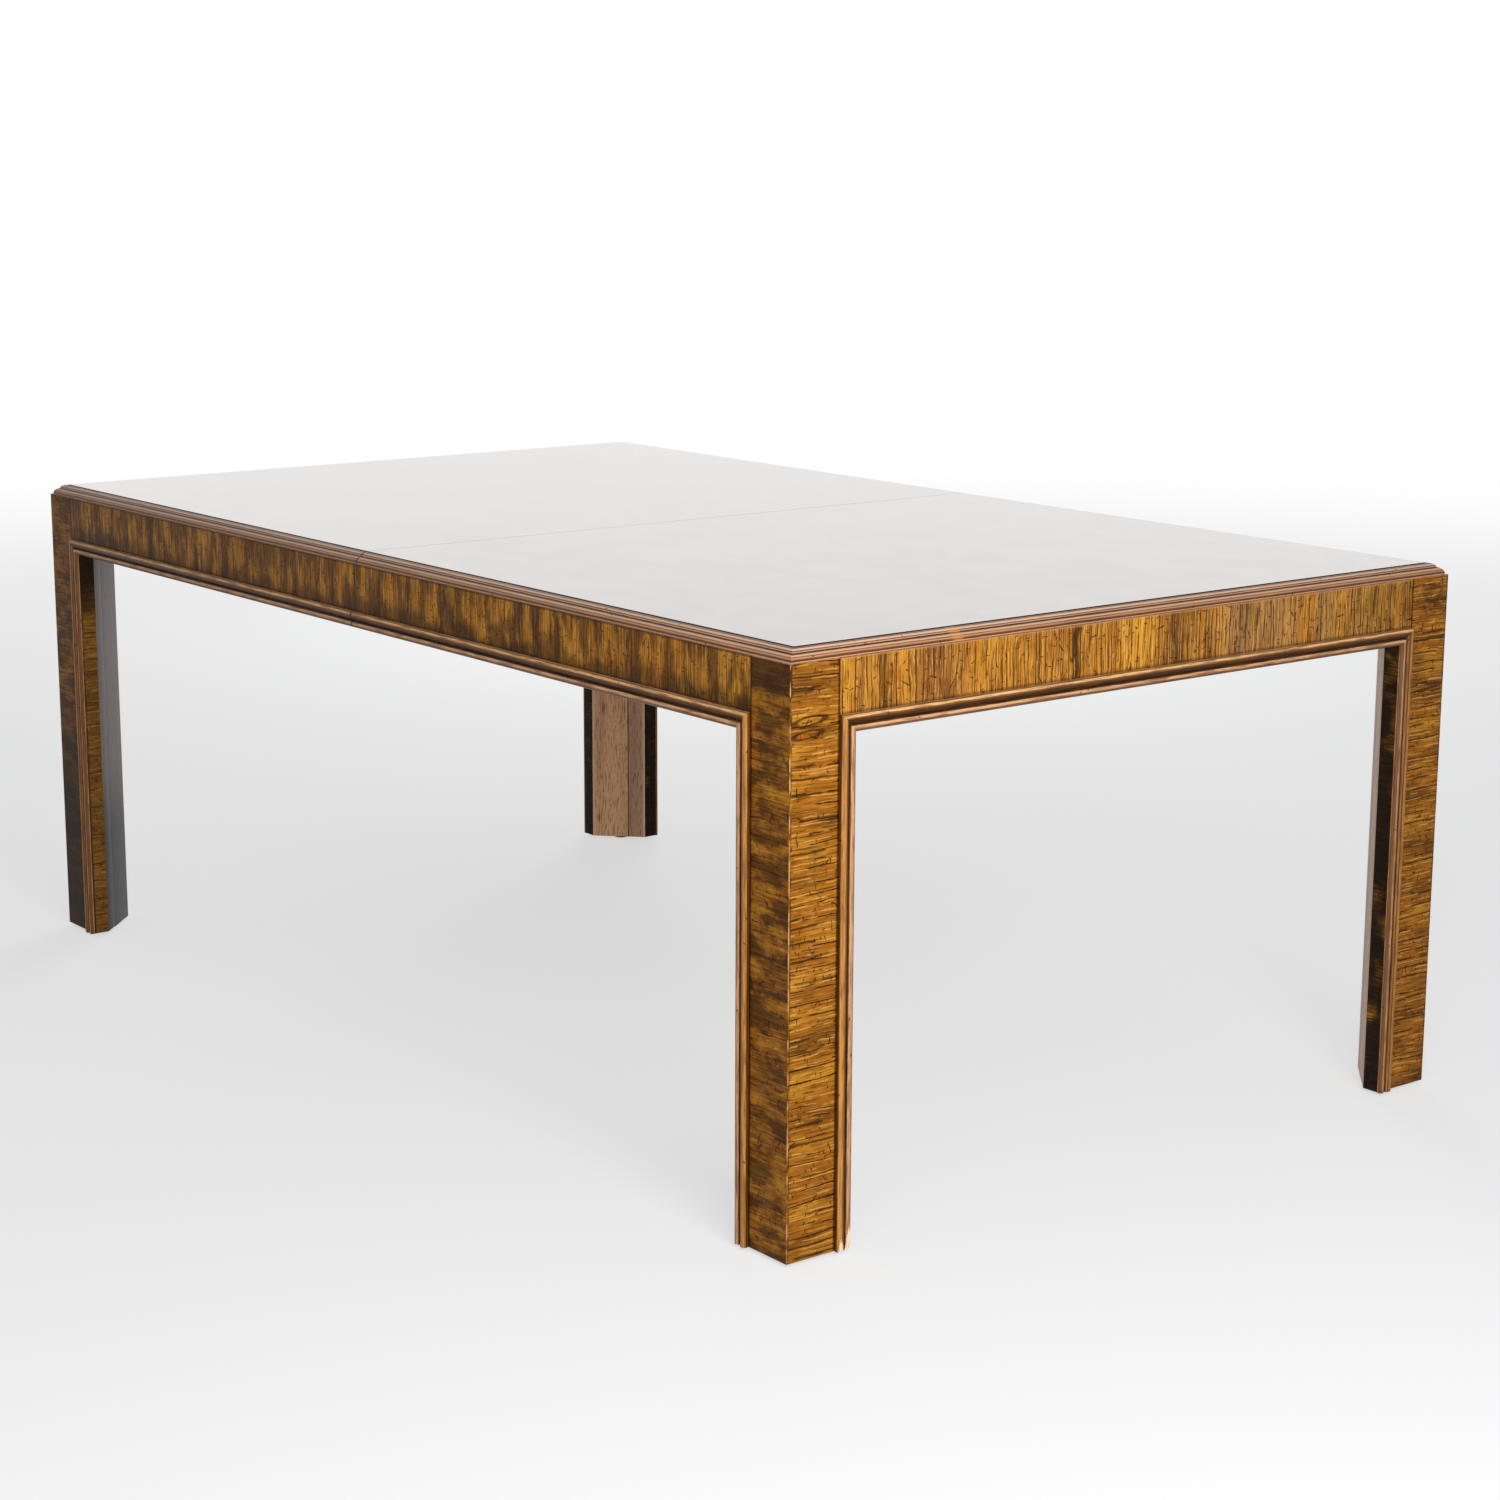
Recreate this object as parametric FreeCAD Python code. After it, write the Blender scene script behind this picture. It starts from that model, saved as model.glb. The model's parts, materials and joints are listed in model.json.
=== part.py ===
import FreeCAD, Part
import math
import os

# Extension dining table with corner legs. Lengths are in millimetres and +Z is up.
# The origin is on the floor under the middle of the closed table. X runs along the table,
# the front is the long side at -Y, and the table parts at the seam where X is zero.

# Overall sizes, over the outer faces of the aprons and legs
table_length = 1930.0
table_width = 1150.0
table_height = 743.0
seam_gap = 0.4
hole_overrun = 2.0

# Top: a board edged with a mitred moulding of two quarter rounds, set back from a narrow ledge
top_thickness = 15.8
ledge_width = 3.5
lower_round_width = 8.2
lower_round_height = 9.4
round_step = 0.8
upper_round_width = 11.0
upper_round_height = 4.0
quarter_round_bulge_share = 0.207

# Carcass: aprons and legs of one board thickness, with a double bead round each opening
board_thickness = 25.4
apron_face_height = 66.4
leg_face_width = 73.5
bead_wall_height = 5.6
wide_bead_width = 11.6
wide_bead_edge_height = 2.6
wide_bead_bulge_share = 0.24
quirk_width = 0.8
quirk_height = 1.6
narrow_bead_width = 9.6
narrow_bead_edge_height = 1.4
narrow_bead_bulge_share = 0.44

# Feet
glide_height = 5.0
glide_diameter = 26.0
glide_bevel = 1.5
glide_pin_diameter = 5.0
glide_pin_length = 18.0
glide_place_share = 0.46

# Corner braces, with two hanger bolts each
brace_thickness = 25.0
brace_height = 62.0
bolt_diameter = 8.0
bolt_grip = 35.0
bolt_spacing = 30.0
bolt_end = 4.0
washer_diameter = 22.0
washer_thickness = 1.6
nut_across_flats = 13.0
nut_height = 6.5

# Glue blocks under the top, along the aprons
block_leg = 22.0
block_length = 60.0
end_block_place_shares = (-0.34, 0.0, 0.34)
side_block_place_shares = (0.22, 0.52, 0.76)

# Opening: room for two leaves
leaf_width = 559.0
leaf_count = 2

# Slides: two sets of three rails, joined by dovetail tongues
slide_length = 1300.0
slide_offset = 235.0
rail_height = 44.0
side_rail_thickness = 24.0
centre_rail_thickness = 28.0
groove_depth = 7.0
tongue_neck_height = 18.0
tongue_face_height = 24.0
slide_clearance = 0.5
packer_thickness = 4.0
packer_seam_margin = 26.0

# Rail screws
screw_diameter = 5.0
screw_head_diameter = 9.5
screw_head_height = 3.2
screw_bite = 10.0
counterbore_depth = 18.0
screw_place_shares = (0.16, 0.42, 0.68, 0.92)

# Pinions and racks that make both halves open alike
gear_module = 1.5
pinion_teeth = 14
pressure_angle = math.radians(25.0)
gear_backlash = 0.25
addendum_share = 0.8
dedendum_share = 1.1
pinion_thickness = 7.2
pinion_side_gap = 0.4
pinion_bore_gap = 0.05
axle_diameter = 5.0
axle_length = 36.0
rack_back = 3.0
rack_margin = 24.0
window_margin = 1.0

# Stops that end the travel
stop_plate_length = 30.0
stop_plate_thickness = 2.0
stop_drop = 1.0
stop_gap = 0.5
stop_pin_diameter = 6.0
stop_pin_seat = 12.0
stop_pin_end = 1.5

# Table pins across the seam, with their sockets
pin_diameter = 8.0
pin_seat = 20.0
pin_reach = 12.0
pin_point = 2.0
pin_gap = 0.3
socket_diameter = 11.0
socket_depth = 16.0
top_pin_place_shares = (-0.4, 0.0, 0.4)

# Locks under the seam: a lever swings over a post
lock_place_share = 0.35
lock_plate_thickness = 2.5
lock_base_length = 34.0
lock_base_width = 52.0
lock_base_seam_margin = 8.0
catch_length = 34.0
catch_width = 40.0
catch_seam_margin = 5.0
post_diameter = 6.0
post_length = 7.0
post_place = 17.0
lever_thickness = 3.0
lever_width = 17.0
lever_handle_reach = 34.0
lever_handle_depth = 14.0
lever_clearance = 0.3
lever_slot_turn = math.radians(34.0)
lever_slot_overrun = math.radians(4.5)
pivot_diameter = 7.0
pivot_bore_gap = 0.08
pivot_head_diameter = 12.0
pivot_head_height = 2.0
plate_screw_diameter = 3.5
plate_screw_head_diameter = 6.5
plate_screw_length = 11.0
plate_screw_edge = 6.0

# Sizes that follow
half_length = table_length / 2
half_width = table_width / 2
carcass_top = table_height - top_thickness
top_moulding_inset = ledge_width + lower_round_width + upper_round_width
frame_moulding_width = wide_bead_width + quirk_width + narrow_bead_width
leg_width = leg_face_width + frame_moulding_width
shoulder = carcass_top - apron_face_height
apron_bottom = shoulder - frame_moulding_width
seam_face = seam_gap / 2
diagonal_sum = board_thickness + leg_width

rail_top = carcass_top - packer_thickness
rail_bottom = rail_top - rail_height
rail_middle = (rail_top + rail_bottom) / 2
half_slide = slide_length / 2
half_travel = leaf_width * leaf_count / 2
web_half = centre_rail_thickness / 2 - groove_depth
tongue_face = web_half + slide_clearance
side_rail_near = centre_rail_thickness / 2 + slide_clearance
side_rail_far = side_rail_near + side_rail_thickness
side_rail_middle = (side_rail_near + side_rail_far) / 2

pitch_radius = gear_module * pinion_teeth / 2
gear_pitch = math.pi * gear_module
addendum = addendum_share * gear_module
dedendum = dedendum_share * gear_module
rack_root = pitch_radius + dedendum
rack_rear = rack_root + rack_back
rack_height = pinion_thickness + 2 * pinion_side_gap

lock_level = carcass_top - lock_plate_thickness
lever_top = lock_level - lever_clearance
lever_bottom = lever_top - lever_thickness
lock_middle = lock_place_share * table_width
lock_pivot_x = -(seam_face + lock_base_seam_margin + lock_base_length / 2)
post_x = seam_face + post_place
lever_radius = post_x - lock_pivot_x
lever_half_width = lever_width / 2


def vec(x, y, z):
    return FreeCAD.Vector(x, y, z)


def box(low, high):
    """A box between two corners."""
    return Part.makeBox(high[0] - low[0], high[1] - low[1], high[2] - low[2], vec(*low))


def prism(points, travel):
    """A flat outline of points, carried along the travel vector."""
    outline = Part.makePolygon(points + [points[0]])
    return Part.Face(outline).extrude(travel)


def cylinder(radius, length, base, direction):
    return Part.makeCylinder(radius, length, base, direction)


def mirror_x(shape):
    return shape.mirror(vec(0, 0, 0), vec(1, 0, 0))


def mirror_y(shape):
    return shape.mirror(vec(0, 0, 0), vec(0, 1, 0))


def in_half(half, shape):
    """A shape that is drawn in the right half, in the half that is named."""
    return mirror_x(shape) if half == "left" else shape


def in_corner(half, row, shape):
    """A shape that is drawn in the right back corner, in the corner that is named."""
    return in_half(half, mirror_y(shape) if row == "front" else shape)


def cut_all(shape, tools):
    """The shape with every tool taken out of it."""
    if not tools:
        return shape
    return shape.cut(Part.Compound(tools))


def save(name, *shapes):
    """Write one node. Several shapes stay separate solids in it."""
    solids = []
    for shape in shapes:
        solids.extend(shape.Solids)
    node = solids[0] if len(solids) == 1 else Part.Compound(solids)
    node.exportStep("parts/" + name + ".step")


def bulged(start, end, bulge_share, side):
    """An arc from start to end that stands out of its chord by a share of the chord."""
    chord = end - start
    middle = (start + end) * 0.5
    normal = chord.cross(side)
    normal.normalize()
    crown = middle + normal * (bulge_share * chord.Length)
    return Part.Arc(start, crown, end).toShape()


def line(start, end):
    return Part.LineSegment(start, end).toShape()


# Faces. Each moulding is drawn on a face of the right back corner and mirrored from there.
# A place on a face is its distance along the face from the corner, how far it stands out, and its height.

def on_side(along, out, z):
    return vec(half_length - along, half_width + out, z)


def on_end(along, out, z):
    return vec(half_length + out, half_width - along, z)


# Top mouldings

def top_moulding_outline(place):
    """The section of the moulding round the top; the panel's edge stands a little above it."""
    steps = [
        (ledge_width, 0),
        (ledge_width + lower_round_width, lower_round_height),
        (ledge_width + lower_round_width, lower_round_height + round_step),
        (top_moulding_inset, lower_round_height + round_step + upper_round_height),
        (top_moulding_inset, 0),
    ]
    points = [place(0, -inset, carcass_top + rise) for inset, rise in steps]
    side = place(1, 0, 0) - place(0, 0, 0)
    if place is on_end:
        side = side * -1
    edges = [
        bulged(points[0], points[1], quarter_round_bulge_share, side),
        line(points[1], points[2]),
        bulged(points[2], points[3], quarter_round_bulge_share, side),
        line(points[3], points[4]),
        line(points[4], points[0]),
    ]
    return Part.Face(Part.Wire(edges))


def mitre_wedge(place):
    """What a top moulding loses where it meets the next one at the corner."""
    corners = [
        place(0, 0, carcass_top - hole_overrun),
        place(0, -top_moulding_inset - hole_overrun, carcass_top - hole_overrun),
        place(top_moulding_inset + hole_overrun, -top_moulding_inset - hole_overrun,
              carcass_top - hole_overrun),
    ]
    return prism(corners, vec(0, 0, top_thickness + 2 * hole_overrun))


def side_top_moulding():
    run = on_side(half_length - seam_face, 0, 0) - on_side(0, 0, 0)
    bar = top_moulding_outline(on_side).extrude(run)
    return bar.cut(mitre_wedge(on_side))


def end_top_moulding():
    run = on_end(table_width, 0, 0) - on_end(0, 0, 0)
    bar = top_moulding_outline(on_end).extrude(run)
    wedge = mitre_wedge(on_end)
    return cut_all(bar, [wedge, mirror_y(wedge)])


# Frame mouldings: a wide bead, a quirk and a narrow bead, planted round each opening

def frame_moulding_outline(at, side):
    """The section, where at gives the point that is so far across the moulding and so far out."""
    quirk_start = wide_bead_width
    quirk_end = wide_bead_width + quirk_width
    steps = [
        (0, 0),
        (0, bead_wall_height),
        (quirk_start, wide_bead_edge_height),
        (quirk_start, quirk_height),
        (quirk_end, quirk_height),
        (quirk_end, wide_bead_edge_height),
        (frame_moulding_width, narrow_bead_edge_height),
        (frame_moulding_width, 0),
    ]
    points = [at(across, out) for across, out in steps]
    edges = [
        line(points[0], points[1]),
        bulged(points[1], points[2], wide_bead_bulge_share, side),
        line(points[2], points[3]),
        line(points[3], points[4]),
        line(points[4], points[5]),
        bulged(points[5], points[6], narrow_bead_bulge_share, side),
        line(points[6], points[7]),
        line(points[7], points[0]),
    ]
    return Part.Face(Part.Wire(edges))


def outward_side(at):
    """The direction that makes both beads stand out of the face."""
    across = at(1, 0) - at(0, 0)
    out = at(0, 1) - at(0, 0)
    return out.cross(across)


def frame_mitre(place, low_side):
    """The wedge between the mitre and the square end, for a leg moulding or for a head moulding."""
    outer = place(leg_face_width, -hole_overrun, shoulder)
    inner = place(leg_width, -hole_overrun, apron_bottom)
    square = place(leg_face_width, -hole_overrun, apron_bottom)
    if low_side:
        square = place(leg_width, -hole_overrun, shoulder)
    depth = place(0, 2 * hole_overrun + frame_moulding_width, 0) - place(0, 0, 0)
    return prism([outer, inner, square], depth)


def leg_moulding(place):
    """The upright beside one face of a leg, from the leg's foot to the mitre."""
    def at(across, out):
        return place(leg_face_width + across, out, glide_height)
    section = frame_moulding_outline(at, outward_side(at))
    bar = section.extrude(vec(0, 0, shoulder - glide_height))
    return bar.cut(frame_mitre(place, True))


def head_moulding(place, reach):
    """The level stretch under an apron, from the mitre as far as reach."""
    def at(across, out):
        return place(leg_face_width, out, shoulder - across)
    section = frame_moulding_outline(at, outward_side(at))
    run = place(reach, 0, 0) - place(leg_face_width, 0, 0)
    return section.extrude(run).cut(frame_mitre(place, False))


def side_head_moulding():
    return head_moulding(on_side, half_length - seam_face)


def end_head_moulding():
    bar = head_moulding(on_end, half_width)
    return bar.fuse(mirror_y(bar)).removeSplitter()


# Legs: a square post with its inner corner cut off, glued up from two thick boards

def corner_outline(points, low, high):
    """An upright prism whose points are distances from the end face and from the side face."""
    corners = [vec(half_length - u, half_width - v, low) for u, v in points]
    return prism(corners, vec(0, 0, high - low))


def bolt_start():
    """Where the hanger bolts leave the brace, on the cut face of the leg, at the middle of its height."""
    middle = diagonal_sum / 2
    return vec(half_length - middle, half_width - middle, carcass_top - brace_height / 2)


bolt_inward = vec(-math.sqrt(0.5), -math.sqrt(0.5), 0)


def bolt_levels():
    return [vec(0, 0, -bolt_spacing / 2), vec(0, 0, bolt_spacing / 2)]


def bolt_holes():
    holes = []
    for level in bolt_levels():
        start = bolt_start() + level - bolt_inward * bolt_grip
        holes.append(cylinder(bolt_diameter / 2, bolt_grip + brace_thickness, start, bolt_inward))
    return holes


def glide_centre():
    """On the floor, under the middle of the leg's section."""
    middle = glide_place_share * leg_width
    return vec(half_length - middle, half_width - middle, 0)


def leg():
    outline = [
        (0, 0),
        (leg_width, 0),
        (leg_width, board_thickness),
        (board_thickness, leg_width),
        (0, leg_width),
    ]
    post = corner_outline(outline, glide_height, carcass_top)
    side_lap = corner_outline([
        (leg_face_width, 0),
        (leg_width + hole_overrun, 0),
        (leg_width + hole_overrun, board_thickness),
        (leg_face_width, board_thickness),
    ], shoulder, carcass_top + hole_overrun)
    end_lap = corner_outline([
        (0, leg_face_width),
        (board_thickness, leg_face_width),
        (board_thickness, leg_width + hole_overrun),
        (0, leg_width + hole_overrun),
    ], shoulder, carcass_top + hole_overrun)
    post = cut_all(post, [side_lap, end_lap, glide_pin()] + bolt_holes())
    outer_board = corner_outline([
        (0, 0),
        (leg_width, 0),
        (leg_width, leg_width / 2),
        (0, leg_width / 2),
    ], glide_height, carcass_top)
    return [post.common(outer_board), post.cut(outer_board)]


def glide_pin():
    length = glide_height + glide_pin_length
    return cylinder(glide_pin_diameter / 2, length, glide_centre(), vec(0, 0, 1))


def glide():
    """A round foot with a bevelled rim and a pin that is driven into the leg."""
    radius = glide_diameter / 2
    rim_top = glide_centre() + vec(0, 0, glide_bevel)
    rim = Part.makeCone(radius - glide_bevel, radius, glide_bevel, glide_centre(), vec(0, 0, 1))
    foot = cylinder(radius, glide_height - glide_bevel, rim_top, vec(0, 0, 1))
    return Part.Compound([rim]).multiFuse([foot, glide_pin()]).removeSplitter()


# Aprons: each laps over the shoulders of the legs

def side_apron():
    low_end = half_length - leg_width
    high_end = half_length - leg_face_width
    rear = half_width - board_thickness
    outline = [
        vec(seam_face, rear, apron_bottom),
        vec(low_end, rear, apron_bottom),
        vec(low_end, rear, shoulder),
        vec(high_end, rear, shoulder),
        vec(high_end, rear, carcass_top),
        vec(seam_face, rear, carcass_top),
    ]
    return prism(outline, vec(0, board_thickness, 0))


def end_apron():
    low_end = half_width - leg_width
    high_end = half_width - leg_face_width
    rear = half_length - board_thickness
    outline = [
        vec(rear, -low_end, apron_bottom),
        vec(rear, low_end, apron_bottom),
        vec(rear, low_end, shoulder),
        vec(rear, high_end, shoulder),
        vec(rear, high_end, carcass_top),
        vec(rear, -high_end, carcass_top),
        vec(rear, -high_end, shoulder),
        vec(rear, -low_end, shoulder),
    ]
    return prism(outline, vec(board_thickness, 0, 0))


# Braces, bolts and blocks

def corner_brace():
    slant = brace_thickness * math.sqrt(2)
    brace = corner_outline([
        (board_thickness, leg_width),
        (leg_width, board_thickness),
        (leg_width + slant, board_thickness),
        (board_thickness, leg_width + slant),
    ], carcass_top - brace_height, carcass_top)
    return cut_all(brace, bolt_holes())


def hanger_bolts():
    """Two bolts, each with its washer and its nut on the brace's inner face."""
    pieces = []
    for level in bolt_levels():
        start = bolt_start() + level
        seat = start + bolt_inward * brace_thickness
        shank_length = bolt_grip + brace_thickness + washer_thickness + nut_height + bolt_end
        shank = cylinder(bolt_diameter / 2, shank_length, start - bolt_inward * bolt_grip, bolt_inward)
        washer = cylinder(washer_diameter / 2, washer_thickness, seat, bolt_inward)
        corner_radius = nut_across_flats / math.sqrt(3)
        nut_seat = seat + bolt_inward * washer_thickness
        across = vec(0, 0, 1)
        beside = bolt_inward.cross(across)
        corners = []
        for step in range(6):
            turn = math.pi / 3 * step
            spoke = across * math.cos(turn) + beside * math.sin(turn)
            corners.append(nut_seat + spoke * corner_radius)
        nut = prism(corners, bolt_inward * nut_height)
        pieces += [shank, washer.cut(shank), nut.cut(shank)]
    return pieces


def side_glue_block(x):
    inner = half_width - board_thickness
    corners = [
        vec(x - block_length / 2, inner, carcass_top),
        vec(x - block_length / 2, inner - block_leg, carcass_top),
        vec(x - block_length / 2, inner, carcass_top - block_leg),
    ]
    return prism(corners, vec(block_length, 0, 0))


def end_glue_block(y):
    inner = half_length - board_thickness
    corners = [
        vec(inner, y - block_length / 2, carcass_top),
        vec(inner - block_leg, y - block_length / 2, carcass_top),
        vec(inner, y - block_length / 2, carcass_top - block_leg),
    ]
    return prism(corners, vec(0, block_length, 0))


def glue_blocks():
    blocks = [end_glue_block(share * table_width) for share in end_block_place_shares]
    for share in side_block_place_shares:
        block = side_glue_block(share * half_length)
        blocks += [block, mirror_y(block)]
    return blocks


# Slides. Depth is measured from the middle plane of the back set. The rails of the left half lie
# on the outer side of each set, those of the right half on its inner side.

rail_hands = {"left": 1, "right": -1}


def slide_outline(section, x_start, x_length):
    """A bar along X whose section is given as pairs of depth and height."""
    corners = [vec(x_start, slide_offset + depth, z) for depth, z in section]
    return prism(corners, vec(x_length, 0, 0))


def rail_screw_places(hand):
    return [-hand * share * half_slide for share in screw_place_shares]


def screw_axis(x, hand):
    return vec(x, slide_offset + hand * side_rail_middle, rail_bottom)


def rail_screw(x, hand):
    """A screw that goes up through the rail and its packer into the top."""
    seat = screw_axis(x, hand) + vec(0, 0, counterbore_depth)
    length = carcass_top + screw_bite - seat.z
    head_radius = screw_head_diameter / 2
    head = Part.makeCone(head_radius, screw_diameter / 2, screw_head_height, seat, vec(0, 0, 1))
    shank = cylinder(screw_diameter / 2, length, seat, vec(0, 0, 1))
    return head.fuse(shank).removeSplitter()


def counterbore(x, hand):
    return cylinder(screw_head_diameter / 2, counterbore_depth, screw_axis(x, hand), vec(0, 0, 1))


def both_sets(shapes):
    """The same pieces in the back set and in the front set."""
    return shapes + [mirror_y(shape) for shape in shapes]


def stop_pin_x(hand):
    reach = -half_slide + stop_plate_length + half_travel + stop_gap + stop_pin_diameter / 2
    return hand * reach


def stop_pin(hand):
    drop = stop_drop + stop_plate_thickness + stop_pin_end
    base = vec(stop_pin_x(hand), slide_offset + hand * side_rail_middle, rail_bottom - drop)
    return cylinder(stop_pin_diameter / 2, drop + stop_pin_seat, base, vec(0, 0, 1))


def side_rail(hand):
    half_neck = tongue_neck_height / 2
    half_face = tongue_face_height / 2
    half_rack = rack_height / 2
    section = [
        (side_rail_far, rail_bottom),
        (side_rail_near, rail_bottom),
        (side_rail_near, rail_middle - half_neck),
        (tongue_face, rail_middle - half_face),
        (tongue_face, rail_middle - half_rack),
        (rack_rear, rail_middle - half_rack),
        (rack_rear, rail_middle + half_rack),
        (tongue_face, rail_middle + half_rack),
        (tongue_face, rail_middle + half_face),
        (side_rail_near, rail_middle + half_neck),
        (side_rail_near, rail_top),
        (side_rail_far, rail_top),
    ]
    section = [(hand * depth, z) for depth, z in section]
    rail = slide_outline(section, -half_slide, slide_length)
    tools = [stop_pin(hand)]
    for x in rail_screw_places(hand):
        tools += [counterbore(x, hand), rail_screw(x, hand)]
    return cut_all(rail, tools)


def rail_packer(hand):
    """The strip that holds a rail down from the top of its own half, clear of the other half."""
    length = half_slide - seam_face - packer_seam_margin
    start = -half_slide if hand == rail_hands["left"] else half_slide - length
    section = [
        (hand * side_rail_near, rail_top),
        (hand * side_rail_far, rail_top),
        (hand * side_rail_far, carcass_top),
        (hand * side_rail_near, carcass_top),
    ]
    packer = slide_outline(section, start, length)
    return cut_all(packer, [rail_screw(x, hand) for x in rail_screw_places(hand)])


def pinion_axle():
    base = vec(0, slide_offset, rail_middle - axle_length / 2)
    return cylinder(axle_diameter / 2, axle_length, base, vec(0, 0, 1))


def centre_rail():
    half_thickness = centre_rail_thickness / 2
    half_mouth = tongue_neck_height / 2 + slide_clearance
    half_floor = tongue_face_height / 2 + slide_clearance
    low = rail_bottom - stop_drop
    one_side = [
        (half_thickness, low),
        (half_thickness, rail_middle - half_mouth),
        (web_half, rail_middle - half_floor),
        (web_half, rail_middle + half_floor),
        (half_thickness, rail_middle + half_mouth),
        (half_thickness, rail_top),
    ]
    other_side = [(-depth, z) for depth, z in reversed(one_side)]
    rail = slide_outline(one_side + other_side, -half_slide, slide_length)
    window_half = pitch_radius + addendum + window_margin
    window = box((-window_half, slide_offset - half_thickness, rail_middle - rack_height / 2),
                 (window_half, slide_offset + half_thickness, rail_middle + rack_height / 2))
    return cut_all(rail, [window, pinion_axle()])


def stop_plates():
    """A plate under each end of a centre rail, reaching under the side rail that it stops."""
    low = rail_bottom - stop_drop - stop_plate_thickness
    high = rail_bottom - stop_drop
    plates = []
    for half, hand in rail_hands.items():
        start = -half_slide if half == "left" else half_slide - stop_plate_length
        inner = -hand * centre_rail_thickness / 2
        outer = hand * (side_rail_middle + stop_pin_diameter / 2)
        section = [(inner, low), (outer, low), (outer, high), (inner, high)]
        plates.append(slide_outline(section, start, stop_plate_length))
    return plates


# Pinion and rack teeth, cut on the involute

def involute_turn(radius, base_radius):
    """How far round an involute has turned where it reaches a radius."""
    roll = math.sqrt(max((radius / base_radius) ** 2 - 1, 0))
    return roll - math.atan(roll)


def pinion():
    """A spur pinion with a tooth on +X, so that the teeth of both racks stand in its gaps."""
    base_radius = pitch_radius * math.cos(pressure_angle)
    tip_radius = pitch_radius + addendum
    root_radius = pitch_radius - dedendum
    foot_radius = max(base_radius, root_radius)
    half_tooth = (gear_pitch / 2 - gear_backlash) / (2 * pitch_radius)
    pitch_turn = involute_turn(pitch_radius, base_radius)
    low = rail_middle - pinion_thickness / 2

    def point(radius, turn):
        return vec(radius * math.cos(turn), slide_offset + radius * math.sin(turn), low)

    def flank(radius):
        return half_tooth + pitch_turn - involute_turn(radius, base_radius)

    edges = []
    last = None
    for tooth in range(pinion_teeth + 1):
        centre = 2 * math.pi * tooth / pinion_teeth
        middle_radius = (foot_radius + tip_radius) / 2
        root_start = point(root_radius, centre - flank(foot_radius))
        if last is not None:
            edges.append(line(last, root_start))
        if tooth == pinion_teeth:
            break
        radii = [foot_radius, middle_radius, tip_radius]
        rising = [point(radius, centre - flank(radius)) for radius in radii]
        falling = [point(radius, centre + flank(radius)) for radius in reversed(radii)]
        last = point(root_radius, centre + flank(foot_radius))
        if foot_radius > root_radius:
            edges.append(line(root_start, rising[0]))
        edges.append(Part.Arc(*rising).toShape())
        edges.append(line(rising[2], falling[0]))
        edges.append(Part.Arc(*falling).toShape())
        if foot_radius > root_radius:
            edges.append(line(falling[2], last))
    blank = Part.Face(Part.Wire(edges)).extrude(vec(0, 0, pinion_thickness))
    bore_radius = axle_diameter / 2 + pinion_bore_gap
    return blank.cut(cylinder(bore_radius, pinion_thickness, vec(0, slide_offset, low), vec(0, 0, 1)))


def rack(hand):
    """A toothed strip let into the tongue of a side rail, where the pinion runs along it."""
    half_pitch_tooth = (gear_pitch / 2 - gear_backlash) / 2
    half_tip = half_pitch_tooth - addendum * math.tan(pressure_angle)
    half_root = half_pitch_tooth + dedendum * math.tan(pressure_angle)
    tip = slide_offset + hand * (pitch_radius - addendum)
    root = slide_offset + hand * rack_root
    rear = slide_offset + hand * rack_rear
    low = rail_middle - rack_height / 2
    first = -math.ceil(rack_margin / gear_pitch)
    last = math.ceil((half_travel + rack_margin) / gear_pitch)
    start = first * gear_pitch - gear_pitch / 2
    end = last * gear_pitch + gear_pitch / 2
    outline = [(start, rear), (start, root)]
    for tooth in range(first, last + 1):
        centre = tooth * gear_pitch
        outline += [
            (centre - half_root, root),
            (centre - half_tip, tip),
            (centre + half_tip, tip),
            (centre + half_root, root),
        ]
    outline += [(end, root), (end, rear)]
    return prism([vec(hand * x, depth, low) for x, depth in outline], vec(0, 0, rack_height))


# Table pins

def pin_places():
    """Each pin's place across the table and its height: in the top, then in both side aprons."""
    top_level = carcass_top + top_thickness / 2
    apron_level = (shoulder + carcass_top) / 2
    apron_middle = half_width - board_thickness / 2
    places = [(share * table_width, top_level) for share in top_pin_place_shares]
    places += [(apron_middle, apron_level), (-apron_middle, apron_level)]
    return places


def table_pin(y, z):
    start = vec(-seam_face - pin_seat, y, z)
    straight = pin_seat + seam_gap + pin_reach - pin_point
    shank = cylinder(pin_diameter / 2, straight, start, vec(1, 0, 0))
    shoulder_place = start + vec(straight, 0, 0)
    tip_radius = pin_diameter / 2 - pin_point
    point = Part.makeCone(pin_diameter / 2, tip_radius, pin_point, shoulder_place, vec(1, 0, 0))
    return shank.fuse(point).removeSplitter()


def socket_hole(y, z):
    return cylinder(socket_diameter / 2, socket_depth, vec(seam_face, y, z), vec(1, 0, 0))


def pin_socket(y, z):
    bore = cylinder(pin_diameter / 2 + pin_gap, socket_depth, vec(seam_face, y, z), vec(1, 0, 0))
    return socket_hole(y, z).cut(bore)


# Locks, drawn for the back of the table

def plate_screw(x, y):
    """A countersunk screw up through a plate into the top."""
    seat = vec(x, y, lock_level)
    head_radius = plate_screw_head_diameter / 2
    head = Part.makeCone(head_radius, plate_screw_diameter / 2, lock_plate_thickness, seat, vec(0, 0, 1))
    shank = cylinder(plate_screw_diameter / 2, plate_screw_length, seat, vec(0, 0, 1))
    return head.fuse(shank).removeSplitter()


def base_screws():
    """Two screws outside the lever, at opposite corners of the plate."""
    reach_x = lock_base_length / 2 - plate_screw_edge
    reach_y = lock_base_width / 2 - plate_screw_edge
    return [plate_screw(lock_pivot_x + side * reach_x, lock_middle + side * reach_y) for side in (-1, 1)]


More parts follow.
